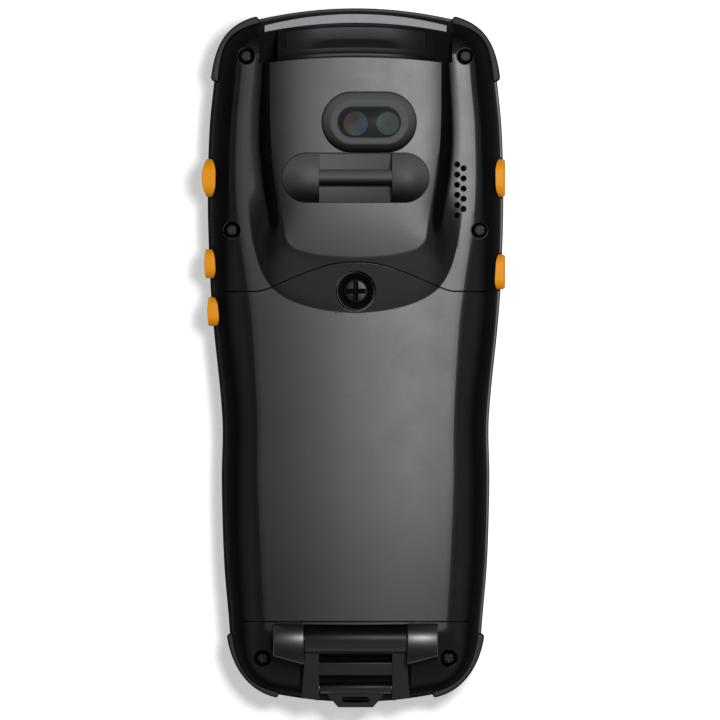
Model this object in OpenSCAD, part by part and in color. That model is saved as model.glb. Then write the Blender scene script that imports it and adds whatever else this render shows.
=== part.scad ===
// Portable barcode data terminal, lying on its front with the back up.
// X runs across the case, Y to the scanner end, Z out of the back. Millimetres.
// The four rubber corner bumpers stand on Z = 0.

/* [Case] */
// Greatest width, across the head
body_w = 70; // [69:0.5:72]
// Length from the scanner end to the foot
body_l = 164.2; // [163:0.2:166]
// How much narrower the grip is than the head
waist_in = 6.9; // [6.2:0.1:7.4]
// How much narrower the foot is than the head, just above the lower bumpers
foot_in = 10; // [9:0.1:10.6]
// Height of the plane where front and rear housings meet
parting_z = 12.5; // [12.3:0.1:12.8]
// Height of the long crease that bounds the back
crease_z = 23.5; // [23.2:0.1:24]
// Rise of the back above its crease, at the middle
back_crown = 1.5; // [1:0.1:1.8]
// Wall of the front housing
wall = 2.2; // [1.9:0.1:2.4]
// Height of the front face above the surface the terminal lies on
face_z = 0.8; // [0.7:0.1:1]

/* [Scan hump] */
// Height of the hump's flat top at the middle
hump_z = 31; // [30.6:0.1:31.4]
// Half-width of the flat top at the scanner end
hump_half = 20.3; // [19.8:0.1:20.6]
// Half-width of the hump's foot at the scanner end
hump_foot_half = 23; // [22.8:0.1:23.4]
// Drop of the flat top towards its long edges
hump_crown = 0.7; // [0.4:0.1:0.9]
// Width of the bay in the scanner end
bay_w = 45.6; // [45:0.2:46]
// Height of the bay's flat rim
rim_z = 19.5; // [19.2:0.1:19.8]
// Width of the scan window's glass
window_w = 33; // [31:0.5:34]
// Slope of the scan window
window_tilt = 45; // [43:1:46]

/* [Camera and strap anchor] */
// Length of the camera bezel over its rounded ends
bezel_l = 22.2; // [21:0.1:23]
// Width of the camera bezel
bezel_w = 14.2; // [13.6:0.1:14.6]
// Diameter of the camera lens barrel
lens_d = 5.75; // [5:0.05:6]
// Length of the strap anchor over its rounded ends
anchor_l = 34.6; // [33:0.2:35]
// Width of the strap anchor
anchor_w = 11.55; // [11:0.05:12]
// Width of the strap anchor's bar
bar_w = 3.9; // [3.4:0.1:4.2]

/* [Battery and cover] */
// Wall of the battery cover
cover_wall = 1.6; // [1.4:0.1:1.7]
// Visible seam round the cover
seam = 0.24; // [0.2:0.02:0.32]
// Diameter of the counterbore round the lock screw
lock_seat_d = 9.6; // [9:0.1:10]
// Room in the tub beyond the two ends of the battery pack
pack_room = 6.9; // [6:0.1:9]
// How much narrower the battery pack is than the head
pack_in = 31; // [30:1:34]
// Thickness of the battery pack
pack_t = 5.9; // [5:0.1:6.1]

/* [Strap buckle] */
// Downward slope of the buckle at rest
buckle_tilt = 25; // [23:1:27]
// Width of the buckle's hinge barrel
buckle_w = 24.2; // [23.4:0.2:24.4]
// Width of the window in the buckle
buckle_gap_w = 17.3; // [16:0.1:17.6]
// Diameter of the buckle's hinge pin
pin_d = 2.2; // [2:0.1:2.4]
// Diameter of the strap loop's pin
loop_pin_d = 1.4; // [1.2:0.1:1.5]

/* [Keys] */
// Travel of a front key
key_travel = 0.5; // [0.4:0.05:0.55]
// Travel of a side key
side_travel = 0.4; // [0.3:0.05:0.5]
// Gap round each key in its opening
key_gap = 0.3; // [0.25:0.05:0.4]
// Distance between key columns
key_pitch_x = 15.5; // [15.2:0.1:15.8]
// Distance between key rows
key_pitch_y = 10.5; // [10.2:0.1:10.8]
// Width of a number key
key_w = 12; // [11:0.2:12.6]
// Depth of a number key
key_h = 7.2; // [6.6:0.2:7.6]

/* [Screws] */
// Head diameter of the case screws
screw_head_d = 3.8; // [3.6:0.1:4]
// Thread diameter of the case screws
screw_d = 2; // [1.8:0.1:2.2]

/* [Hidden] */
$fn = 48;

// The ends of the case. The strap loop reaches past the foot.
loop_out = 1.2;
top_y = (body_l + loop_out) / 2;
foot_y = top_y - body_l;
top_r = 100;
foot_r = 95;
eps = 0.01;

// ---------- Outline of the case ----------

head_half = body_w / 2;
waist_half = (body_w - waist_in) / 2;
foot_half = (body_w - foot_in) / 2;
station_y = [foot_y + 19.5, foot_y + 33.5, foot_y + 52.5, foot_y + 67, top_y - 74.7,
    top_y - 66.7, top_y - 46.7, top_y - 28.7, top_y - 16.7];
station_w = [foot_half, foot_half + 1.15, waist_half + 0.15, waist_half, waist_half + 2.15,
    waist_half + 2.75, head_half, head_half - 0.4, head_half - 1.57];
crease_w = [foot_half - 7.9, foot_half - 7.1, waist_half - 7.9, waist_half - 7.8,
    waist_half - 6.5, waist_half - 5.5, head_half - 6.2, head_half - 6.15, head_half - 7.2];

// Smooth curve through (xs, ys), with the average slope at each inner station
function slope_at(xs, ys, i) =
    let (a = max(i - 1, 0), b = min(i + 1, len(xs) - 1))
    (ys[b] - ys[a]) / (xs[b] - xs[a]);
function hermite(p0, p1, m0, m1, h, t) =
    p0 * (2 * t * t * t - 3 * t * t + 1) + m0 * h * (t * t * t - 2 * t * t + t)
    + p1 * (3 * t * t - 2 * t * t * t) + m1 * h * (t * t * t - t * t);
function span_of(xs, x, i = 0) = i >= len(xs) - 2 || x < xs[i + 1] ? i : span_of(xs, x, i + 1);
function curve(xs, ys, x) =
    let (i = span_of(xs, x), h = xs[i + 1] - xs[i])
    hermite(ys[i], ys[i + 1], slope_at(xs, ys, i), slope_at(xs, ys, i + 1), h, (x - xs[i]) / h);
function clamp(v, lo, hi) = min(max(v, lo), hi);
function half_w(y) = curve(station_y, station_w, clamp(y, foot_y + 14, top_y - 14));
function crease_half(y) = curve(station_y, crease_w, clamp(y, foot_y + 14, top_y - 10));
function bezier(a, b, c, d, t) =
    a * pow(1 - t, 3) + b * 3 * t * pow(1 - t, 2) + c * 3 * t * t * (1 - t) + d * pow(t, 3);

rows_end = 5;
rows_corner = 5;
rows_side = 22;
foot_x = foot_half - 11.5;
top_x = head_half - 12.5;
side_lo = foot_y + 16.5;
side_hi = top_y - 18.2;

// The right half of the outline, from the foot to the scanner end, set in by d
function foot_arc(x, d) = [x, foot_y + d + x * x / (2 * foot_r)];
function top_arc(x, d) = [x, top_y - d - x * x / (2 * top_r)];
function outline_half(d) =
    let (b0 = foot_arc(foot_x, d), b3 = [half_w(side_lo) - d, side_lo])
    let (c0 = [half_w(side_hi) - d, side_hi], c3 = top_arc(top_x, d))
    concat([for (k = [0 : rows_end - 1]) foot_arc(foot_x * k / rows_end, d)],
        [for (k = [0 : rows_corner - 1])
            bezier(b0, b0 + [7.4, 1.5], b3 - [0.9, 7.5], b3, k / rows_corner)],
        [for (k = [0 : rows_side - 1])
            let (y = side_lo + (side_hi - side_lo) * k / rows_side) [half_w(y) - d, y]],
        [for (k = [0 : rows_corner - 1])
            bezier(c0, c0 + [-0.9, 9], c3 + [8.8, -2], c3, k / rows_corner)],
        [for (k = [0 : rows_end]) top_arc(top_x * (1 - k / rows_end), d)]);

// The right half of the crease, with the same number of rows
crease_foot = foot_y + 14.5;
crease_top = top_y - 7.8;
function crease_line(d) =
    let (lo = crease_foot + 3.6, hi = crease_top - 4.6)
    let (fx = crease_half(lo) - 2.2, tx = crease_half(hi) - 3.2)
    let (b0 = [fx, crease_foot + d + fx * fx / (2 * foot_r)], b3 = [crease_half(lo) - d, lo])
    let (c0 = [crease_half(hi) - d, hi], c3 = [tx, crease_top - d - tx * tx / (2 * top_r)])
    concat([for (k = [0 : rows_end - 1])
            let (x = fx * k / rows_end) [x, crease_foot + d + x * x / (2 * foot_r)]],
        [for (k = [0 : rows_corner - 1])
            bezier(b0, b0 + [1.4, 0.1], b3 - [0, 1], b3, k / rows_corner)],
        [for (k = [0 : rows_side - 1])
            let (y = lo + (hi - lo) * k / rows_side) [crease_half(y) - d, y]],
        [for (k = [0 : rows_corner - 1])
            bezier(c0, c0 + [-0.2, 2], c3 + [1.8, -0.3], c3, k / rows_corner)],
        [for (k = [0 : rows_end])
            let (x = tx * (1 - k / rows_end)) [x, crease_top - d - x * x / (2 * top_r)]]);

// ---------- Lofts ----------

// A closed loop from its right half. An open half doesn't end on the middle line.
function loop_of(half, open = false) =
    concat(half, [for (j = [len(half) - (open ? 1 : 2) : -1 : 1])
        [-half[j][0], half[j][1], half[j][2]]]);
function lift(line, z) = [for (p = line) [p[0], p[1], z]];

// A solid through loops of equal length, closed by strips across its ends
module loft(rings, half_n) {
    n = len(rings[0]);
    m = len(rings);
    h = half_n - 1;
    sides = [for (k = [0 : m - 2], i = [0 : n - 1])
        let (a = k * n + i, b = k * n + (i + 1) % n)
        each [[a, a + n, b + n], [a, b + n, b]]];
    lids = [for (q = [0, (m - 1) * n], j = [0 : h - 1])
        let (r0 = j, r1 = j + 1, l1 = (n - j - 1) % n, l0 = (n - j) % n)
        each [if (r1 != l1) q == 0 ? [r0, r1, l1] : [q + l1, q + r1, q + r0],
              if (r0 != l0) q == 0 ? [r0, l1, l0] : [q + l0, q + l1, q + r0]]];
    polyhedron(points = [for (r = rings) each r], faces = concat(sides, lids), convexity = 8);
}

// The plain case outline as a prism
module outline_prism(d, z0, z1) {
    translate([0, 0, z0]) linear_extrude(z1 - z0) outline_2d(d);
}
module outline_2d(d) {
    polygon([for (p = loop_of(lift(outline_half(d), 0))) [p[0], p[1]]]);
}

// Height of the back inside its crease
function back_z(x, y) = crease_z + back_crown * (1 - pow(x / crease_half(y), 2));
side_z = parting_z + 1;
side_pull = 0.48;

// One loop of the back: t = 0 on the crease and 1 on the outline
function side_ring(t, d) =
    let (outer = outline_half(rear_inset + d), inner = crease_line(d * 0.5))
    [for (j = [0 : len(outer) - 1])
        let (p = inner[j] + (outer[j] - inner[j]) * (2 * t - t * t))
        let (zc = back_z(inner[j][0], inner[j][1]) - d)
        let (zq = side_z + side_pull * (crease_z - side_z) - d)
        [p[0], p[1], zc * pow(1 - t, 2) + 2 * t * (1 - t) * zq + t * t * (side_z - d * 0.3)]];
function top_ring(f, d) =
    [for (p = crease_line(d * 0.5))
        let (x = p[0] * f, y = p[1] * (1 - 0.1 * (1 - f)))
        [x, y, back_z(x, y) - d]];
rear_inset = 0.6;
side_steps = [1, 0.78, 0.56, 0.36, 0.16, 0];
top_steps = [0.72, 0.4, 0.1];

// The back without its hump, set in by d
module back_form(d = 0) {
    rings = concat([lift(outline_half(rear_inset + d), parting_z - (d > 0 ? 1 : 0))],
        [for (t = side_steps) side_ring(t, d)],
        [for (f = top_steps) top_ring(f, d)]);
    loft([for (r = rings) loop_of(r)], len(rings[0]));
}

// ---------- Scan hump ----------

foot_pts = [[0, 10.4], [12.9, 12.4], [20.8, 17.7], [hump_foot_half + 1.5, 28],
    [hump_foot_half, 49], [hump_foot_half, 71.5]];
rim_pts = [[0, 23.8], [10, 24.5], [15.6, 26.6], [17.3, 32], [hump_half - 0.4, 50],
    [hump_half, 71.5]];
hump_rows = 5;
// Points above are measured in a frame where the scanner end is at 82.7
function hump_y(y) = y - 82.7 + top_y;
function point_slope(pts, i) =
    i == 0 ? [pts[1][0], 0]
    : i == len(pts) - 1 ? pts[i] - pts[i - 1]
    : (pts[i + 1] - pts[i - 1]) / 2;
function spline(pts, i, t) =
    hermite(pts[i], pts[i + 1], point_slope(pts, i), point_slope(pts, i + 1), 1, t);
function spline_line(pts, n) =
    concat([for (i = [0 : len(pts) - 2], k = [0 : n - 1]) spline(pts, i, k / n)],
        [pts[len(pts) - 1]]);
function hump_top(x) = hump_z - hump_crown * pow(x / hump_half, 2);
function smooth(s) = s * s * (3 - 2 * s);
function hump_ring(s, d) =
    let (lo = spline_line(foot_pts, hump_rows), hi = spline_line(rim_pts, hump_rows))
    [for (j = [0 : len(lo) - 1])
        let (k = 1 - d * (0.5 + 0.5 * s) / 24)
        let (p = lo[j] + (hi[j] - lo[j]) * s)
        let (zf = back_z(lo[j][0], hump_y(lo[j][1])) - 0.12 - d)
        let (y = hump_y(p[1] + (71.5 - p[1]) * (1 - k)))
        [p[0] * k, y, zf + (hump_top(hi[j][0]) - d - zf) * smooth(s)]];
function hump_cap(f, d) =
    [for (p = hump_ring(1, d))
        let (x = p[0] * f, end = hump_y(71.5))
        [x, end - (end - p[1]) * (1 - 0.1 * (1 - f)), hump_top(x) - d]];
hump_steps = [0, 0.14, 0.3, 0.46, 0.62, 0.8, 1];

// The hump, set in by d
module hump_form(d = 0) {
    base = [for (p = hump_ring(0, d)) [p[0], p[1], crease_z - 3 - d]];
    rings = concat([base], [for (s = hump_steps) hump_ring(s, d)],
        [for (f = [0.6, 0.2]) hump_cap(f, d)]);
    loft([for (r = rings) loop_of(r, true)], len(base));
}

// ---------- Shared cuts ----------

cover_foot = foot_y + 19.1;
// The cover's skirt ends above the side keys and their flanges
cover_floor = parting_z + 6;
seam_pts = [[0, 22.5], [6.1, 21.9], [13.2, 19.5], [19.1, 16.95], [22.6, 15.75], [27, 15.65],
    [40, 15.65]];
cover_side_y = hump_y(15.65);

// The battery cover's outline, grown by g
module cover_region(g, z0) {
    half = [for (p = spline_line(seam_pts, 5)) [p[0], hump_y(p[1]) + g]];
    full = concat([for (j = [len(half) - 1 : -1 : 1]) [-half[j][0], half[j][1]]], half);
    translate([0, 0, z0]) linear_extrude(hump_z + 5 - z0)
        polygon(concat([[-40, cover_foot - g]], full, [[40, cover_foot - g]]));
}

module rounded_box(size, r) {
    w = size[0] / 2 - r;
    l = size[1] / 2 - r;
    union() {
        for (x = [-w, w], y = [-l, l]) translate([x, y, 0]) cylinder(r = r, h = size[2]);
        translate([-w - r, -l, 0]) cube([2 * (w + r), 2 * l, size[2]]);
        translate([-w, -l - r, 0]) cube([2 * w, 2 * (l + r), size[2]]);
    }
}

module block(x0, x1, y0, y1, z0, z1) {
    translate([x0, y0, z0]) cube([x1 - x0, y1 - y0, z1 - z0]);
}

// A slab with two round ends, tapering from r0 to r1
module stadium(l, r0, r1, h) {
    s = l / 2 - r0;
    union() {
        for (x = [-s, s]) translate([x, 0, 0]) cylinder(r1 = r0, r2 = r1, h = h);
        translate([-s, 0, 0]) rotate([90, 0, 90]) linear_extrude(2 * s)
            polygon([[-r0, 0], [r0, 0], [r1, h], [-r1, h]]);
    }
}

// Case screws: [x, y, height of the head's seat]
screw_seat_top = 18.6;
screw_seat_foot = 16;
screw_places = [for (s = [-1, 1]) each [
    [s * (head_half - 9.1), top_y - 11.45, screw_seat_top],
    [s * (head_half - 5.7), hump_y(30.1), screw_seat_top],
    [s * (foot_half - 8), foot_y + 10.4, screw_seat_foot]]];
screw_tip = 5;
post_r = 2.6;

module screw_holes() {
    for (p = screw_places) {
        translate([p[0], p[1], p[2]]) cylinder(d = screw_head_d + 0.4, h = 20);
        translate([p[0], p[1], 0]) cylinder(d = screw_d + 0.3, h = 30);
    }
}

// Corner bumpers: a band over the corner, proud of the case and let into it
band_out = 0.85;
band_in = 1.1;
band_top = parting_z + 3;
band_rows = 9;
function top_band(d, a, b) =
    let (c0 = [half_w(side_hi) - d, side_hi], c3 = top_arc(top_x, d))
    [for (k = [0 : band_rows]) bezier(c0, c0 + [-0.9, 9], c3 + [8.8, -2], c3,
        a + (b - a) * k / band_rows)];
function foot_band(d, a, b) =
    let (b0 = foot_arc(foot_x, d), b3 = [half_w(side_lo) - d, side_lo])
    [for (k = [0 : band_rows]) bezier(b0, b0 + [7.4, 1.5], b3 - [0.9, 7.5], b3,
        a + (b - a) * k / band_rows)];
function flip(pts) = [for (i = [len(pts) - 1 : -1 : 0]) pts[i]];
module band(outer, inner, z0, z1) {
    translate([0, 0, z0]) linear_extrude(z1 - z0) polygon(concat(outer, flip(inner)));
}
module top_bumper(gap = 0) {
    band(top_band(-band_out - gap, 0.05, 0.97), top_band(band_in + gap, 0.02, 1),
        0, band_top + gap);
}
module foot_bumper(gap = 0) {
    band(foot_band(-band_out - gap, 0.0, 0.97), foot_band(band_in + gap, -0.03, 1),
        0, band_top - 2 + gap);
}
bumper_gap = 0.05;
module bumper_cuts() {
    for (s = [0, 1]) mirror([s, 0, 0]) {
        top_bumper(bumper_gap);
        foot_bumper(bumper_gap);
    }
}

// Side keys: [side, y, length, height, reach past the middle line]
key_z = parting_z + 0.7;
side_keys = [
    [-1, hump_y(42.5), 9, 9.6, 36.4],
    [-1, hump_y(22.2), 6.8, 6.8, 35.8],
    [-1, hump_y(10.9), 6.8, 6.8, 35.1],
    [1, hump_y(42.5), 9, 9.6, 35.4],
    [1, hump_y(20.3), 8.3, 6.8, 35.4]];
key_flange = 0.9;
flange_in = 3.4;

// A block along X with rounded corners in its Y and Z section
module side_block(x0, x1, l, h) {
    r = min(l, h) * 0.36;
    translate([x0, 0, 0]) rotate([90, 0, 90])
        rounded_box([l, h, x1 - x0], r);
}
module side_key(k) {
    wall_x = half_w(k[1]);
    dome_r = k[2] < 8 ? 16 : 9;
    mirror([k[0] < 0 ? 1 : 0, 0, 0]) translate([0, k[1], key_z])
        union() {
            intersection() {
                side_block(wall_x - flange_in, k[4], k[2], k[3]);
                translate([k[0] < 0 ? k[4] - dome_r : k[4] - 40, 0, -10])
                    cylinder(r = k[0] < 0 ? dome_r : 40, h = 20, $fn = 96);
            }
            side_block(wall_x - flange_in - 0.8, wall_x - flange_in,
                k[2] + 2 * key_flange, k[3] + 2 * key_flange);
        }
}
module side_key_holes() {
    for (k = side_keys)
        mirror([k[0] < 0 ? 1 : 0, 0, 0]) translate([0, k[1], key_z]) {
            side_block(20, 40, k[2] + 2 * key_gap, k[3] + 2 * key_gap);
            side_block(20, half_w(k[1]) - flange_in + key_gap,
                k[2] + 2 * key_flange + 0.8, k[3] + 2 * key_flange + 0.8);
        }
}

// ---------- Housings ----------

// The window in the front face, and the ledge the glass sits on
glass_top = top_y - 15;
glass_foot = foot_y + 74.2;
glass_w = body_w - 13;
glass_l = glass_top - glass_foot;
glass_y = (glass_top + glass_foot) / 2;
view_w = glass_w - 4;
view_l = glass_l - 4.5;
face_t = 2;
glass_t = 1.1;
gasket_in = 1.5;
gasket_w = 0.7;

module gasket_ring(g) {
    translate([0, 0, parting_z - 0.4 - g]) linear_extrude(0.8 + 2 * g) difference() {
        outline_2d(gasket_in - g);
        outline_2d(gasket_in + gasket_w + g);
    }
}

// Front keys: [x, y, width, depth]
key_row_y = foot_y + 49.5;
soft_key_x = body_w * 0.293;
soft_key_w = body_w * 0.171;
// Columns run from +X, which is on the left for someone who reads the keys
function key_place(c, r) = [(1 - c) * key_pitch_x, key_row_y - r * key_pitch_y, key_w, key_h];
front_keys = concat([
    [0, key_row_y + 13.4, body_w * 0.3, 11],
    [soft_key_x, key_row_y + 13, soft_key_w, 8],
    [-soft_key_x, key_row_y + 13, soft_key_w, 8]],
    [for (r = [0 : 3], c = [0 : 2]) key_place(c, r)]);
key_r = 2.4;
key_flange_z = face_z + face_t + 0.4;
key_flange_t = 0.8;

module front_key(i) {
    k = front_keys[i];
    translate([k[0], k[1], 0]) {
        translate([0, 0, 0.35]) rounded_box([k[2] - 0.6, k[3] - 0.6, 0.5], key_r - 0.3);
        translate([0, 0, 0.8]) rounded_box([k[2], k[3], key_flange_z - 0.75], key_r);
        translate([0, 0, key_flange_z])
            rounded_box([k[2] + 1.6, k[3] + 1.6, key_flange_t], key_r + 0.6);
    }
}
module front_key_holes() {
    for (k = front_keys) translate([k[0], k[1], -1])
        rounded_box([k[2] + 2 * key_gap, k[3] + 2 * key_gap, 6], key_r + key_gap);
}

connector_w = 19;
connector_z = 6.6;

module front_housing() {
    rings = [for (q = [[1.8, face_z], [0.7, face_z + 0.4], [0, face_z + 1.8], [0, parting_z]])
        loop_of(lift(outline_half(q[0]), q[1]))];
    color("#17181a") difference() {
        union() {
            difference() {
                loft(rings, len(outline_half(0)));
                outline_prism(wall + 0.4, face_z + face_t, parting_z + 1);
            }
            for (p = screw_places) intersection() {
                translate([p[0], p[1], face_z + 0.5]) cylinder(r = post_r, h = parting_z - face_z - 0.6);
                outline_prism(0.8, 0, parting_z);
            }
        }
        for (p = screw_places)
            translate([p[0], p[1], screw_tip - 0.4]) cylinder(d = screw_d, h = 20);
        translate([0, glass_y, -1]) rounded_box([view_w, view_l, 8], 1.5);
        translate([0, glass_y, face_z - 1])
            rounded_box([glass_w + 0.3, glass_l + 0.3, 1 + glass_t + 0.1], 3);
        front_key_holes();
        side_key_holes();
        bumper_cuts();
        gasket_ring(0.05);
        block(-connector_w / 2 - 0.1, connector_w / 2 + 0.1, foot_y - 2, foot_y + 8,
            connector_z - 2.6, connector_z + 2.6);
    }
}

bay_y0 = top_y - 12.6;
rim_in = top_y - 3.55;
rim_out = top_y - 1.5;
pocket_z = hump_z - 2;
head_y0 = hump_y(28);
head_y1 = top_y - 14.5;
pack_w = body_w - pack_in;
tub_y0 = cover_foot + 3;
tub_y1 = hump_y(11.5);
pack_l = tub_y1 - tub_y0 - pack_room;
tub_floor = parting_z + 3.2;
pan_top = parting_z + 2;
anchor_y = hump_y(42.4);
camera_x = 3.17;
camera_y = hump_y(55.5);
lock_y = hump_y(15.65);
lock_z = crease_z + 0.2;
pin_y = foot_y + 15;
pin_z = crease_z - 0.3;
ear_in = buckle_w / 2 + 0.15;
ear_out = foot_half - 10.6;
pin_half = ear_out - 2.2;
ear_r = 3.9;
barrel_r = 3.1;
tab_x = pack_w / 2 - 3.6;
tab_w = 4.6;
tab_z = crease_z - 2.9;

module bay_rim() {
    translate([0, 0, parting_z]) linear_extrude(rim_z - parting_z) difference() {
        intersection() {
            translate([0, rim_out - 86]) circle(r = 86, $fn = 360);
            translate([1.3 - bay_w / 2, top_y - 22.7]) square([bay_w - 2.6, 40]);
        }
        translate([0, rim_in - 108]) circle(r = 108, $fn = 360);
    }
}

// The ears that carry the buckle's pin, each a wing whose lower edge slants to the middle
ear_line = [[3.65, -8.7], [3.75, 1], [3.3, 2.1], [2.4, 3.05], [1.2, 3.7], [0, 3.9], [-1.3, 3.85],
    [-2.6, 3.55], [-3.8, 3.05], [-5, 2.35], [-6.2, 1.5], [-6.2, -8.7]];
ear_slant = 15.6;
module ears() {
    for (s = [0, 1]) mirror([s, 0, 0]) difference() {
        translate([ear_in, pin_y, pin_z]) rotate([90, 0, 90])
            linear_extrude(ear_out - ear_in) polygon(ear_line);
        translate([ear_out, pin_y - ear_r, 0]) rotate([0, 0, ear_slant]) block(-15, 5, -8, 0, 0, 40);
    }
}

// The tub that holds the battery, standing clear below the cover
tub_top = tub_floor + pack_t - 0.4;
tub_side = 2.4;
module tub_body() {
    block(-pack_w / 2 - tub_side, pack_w / 2 + tub_side, cover_foot - 1.5, hump_y(27),
        parting_z + 1, tub_top);
}
module at_buckle() {
    translate([0, pin_y, pin_z]) rotate([buckle_tilt, 0, 0]) children();
}

// Space for the buckle's frame, narrow between the ears
module buckle_recess() {
    wide = buckle_w / 2 + 1;
    bend = flare_at + 1.6;
    translate([0, 0, -2.5]) linear_extrude(16.5) polygon([[-ear_in, 3], [-ear_in, -flare_at],
        [-wide, -bend], [-wide, -25], [wide, -25], [wide, -bend], [ear_in, -flare_at], [ear_in, 3]]);
}

module rear_housing() {
    color("#26272a") difference() {
        union() {
            difference() {
                union() {
                    back_form();
                    hump_form();
                    ears();
                }
                cover_region(seam / 2, cover_floor - 0.1);
                // the bay in the scanner end
                translate([0, bay_y0 + 20, rim_z]) rounded_box([bay_w, 40, 30], 1.5);
            }
            tub_body();
            bay_rim();
        }
        // inside of the head and the hump
        block(8.6 - head_half, head_half - 8.6, head_y0, head_y1, parting_z - 1, crease_z - 2.2);
        block(4.9 - hump_half, hump_half - 4.9, head_y0 + 2, head_y1 + 1, parting_z, hump_z - 3.6);
        block(-18, 18, head_y1 - 1, rim_in - 1, parting_z - 1, rim_z - 1.8);
        // space over the main board
        intersection() {
            outline_prism(wall + 1.6, parting_z - 1, pan_top);
            block(-40, 40, foot_y + 13, head_y0 + 1, 0, 30);
        }
        // battery tub
        translate([0, (tub_y0 + tub_y1) / 2, tub_floor])
            rounded_box([pack_w + 0.8, tub_y1 - tub_y0, 20], 1);
        block(-7.2, 7.2, tub_y1 - 3.2, tub_y1 - eps, pan_top - 1, tub_floor + 1);
        // lock screw's hole
        translate([0, lock_y, tub_floor]) cylinder(d = 4.8, h = 12);
        // pockets for the cover's tabs
        for (s = [-1, 1]) {
            block(s * tab_x - tab_w / 2 - 0.4, s * tab_x + tab_w / 2 + 0.4,
                cover_foot - 3.1, cover_foot + 1.1, crease_z - 5.6, crease_z - 1.2);
            block(s * tab_x - tab_w / 2 - 0.4, s * tab_x + tab_w / 2 + 0.4,
                cover_foot + 1, tub_y0 + 1, tab_z - 0.4, tub_top + 1);
        }
        // recess under the buckle
        at_buckle() buckle_recess();
        translate([-ear_in, pin_y, pin_z]) rotate([0, 90, 0])
            cylinder(r = barrel_r + 0.45, h = 2 * ear_in);
        translate([-pin_half - 0.2, pin_y, pin_z]) rotate([0, 90, 0])
            cylinder(d = pin_d, h = 2 * pin_half + 0.4);
        // window frame, camera and strap anchor
        translate([0, bay_y0, 0]) frame_wedge(0.1);
        translate([camera_x, camera_y, pocket_z + 0.6])
            stadium(bezel_l + 0.1, bezel_w / 2 + 0.05, bezel_w / 2 + 0.05, 4);
        translate([0, camera_y - 0.3, 20]) cylinder(d = lens_d + 2, h = 20);
        translate([led_x, camera_y - 0.3, 20]) cylinder(d = led_d + 0.4, h = 20);
        translate([0, anchor_y, pocket_z])
            stadium(anchor_l + 0.1, anchor_w / 2 + 0.05, anchor_w / 2 + 0.05, 6);
        speaker_holes();
        screw_holes();
        side_key_holes();
        bumper_cuts();
        gasket_ring(0.05);
    }
}

// Two staggered rows of sound holes
module speaker_holes() {
    for (i = [0 : 10])
        translate([head_half - (i % 2 == 0 ? 11 : 9.5), hump_y(45.6) - i * 1.2 + (i % 2) * 0.3, 18])
            cylinder(d = 1.35, h = 12);
}

module housing_gasket() {
    color("#3a3c3f") difference() {
        gasket_ring(0);
        side_key_holes();
        for (p = screw_places) translate([p[0], p[1], 0]) cylinder(r = 2.8, h = 30);
    }
}

module bumper_top_right() { color("#141517") top_bumper(); }
module bumper_top_left() { color("#141517") mirror([1, 0, 0]) top_bumper(); }
module bumper_bottom_right() { color("#141517") foot_bumper(); }
module bumper_bottom_left() { color("#141517") mirror([1, 0, 0]) foot_bumper(); }

module case_screws() {
    color("#2b2c2e") for (p = screw_places) difference() {
        union() {
            translate([p[0], p[1], p[2]]) cylinder(d = screw_head_d, h = 1.4);
            translate([p[0], p[1], screw_tip]) cylinder(d = screw_d, h = p[2] - screw_tip + 0.1);
        }
        for (a = [0, 90]) translate([p[0], p[1], p[2] + 1.1]) rotate([0, 0, a])
            cube([2.2, 0.5, 1.2], center = true);
    }
}

// ---------- Scan bay ----------

// The wedge-shaped frame in the bay, measured from the bay's lower wall
frame_d = 8.9;
frame_lip = 1.2;
frame_half = window_w / 2 + 1.9;
module frame_profile(g) {
    top = rim_z + frame_d + 0.4;
    polygon([[-g, rim_z - 1.4 - g], [frame_d + g, rim_z - 1.4 - g], [frame_d + g, rim_z + 0.9 + g],
        [frame_lip + g, top + g], [-g, top + g]]);
}
module frame_wedge(g) {
    translate([-frame_half - g, 0, 0]) rotate([90, 0, 90]) linear_extrude(2 * (frame_half + g))
        frame_profile(g);
}
pane_t = 1.2;
module at_pane() {
    translate([0, bay_y0 + frame_lip + 3.7, rim_z + 4.5]) rotate([-window_tilt, 0, 0]) children();
}
module scan_window_frame() {
    color("#0b0c0d") difference() {
        translate([0, bay_y0, 0]) frame_wedge(0);
        at_pane() block(-window_w / 2 - 0.05, window_w / 2 + 0.05, -3.95, 3.95, -0.7, 10);
        at_pane() block(-window_w / 2 + 1, window_w / 2 - 1, -3, 3, -20, 5);
    }
}
module scan_window() {
    color("#08090c") at_pane() block(-window_w / 2, window_w / 2, -3.9, 3.9, -0.7, pane_t - 0.7);
}
engine_half = 12;
module scan_engine() {
    color("#2f3337") difference() {
        union() {
            block(-engine_half, engine_half, head_y1 - 7.6, head_y1 - 0.3, board_top + 0.1, rim_z + 6.6);
            for (x = [-5, 5]) translate([x, head_y1 - 0.4, rim_z + 2.4]) rotate([-90, 0, 0])
                cylinder(d = 5, h = 1.4);
        }
        for (x = [-5, 5]) translate([x, head_y1 - 0.4, rim_z + 2.4]) rotate([-90, 0, 0])
            cylinder(d = 3.6, h = 3);
    }
}

// ---------- Camera ----------

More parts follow.
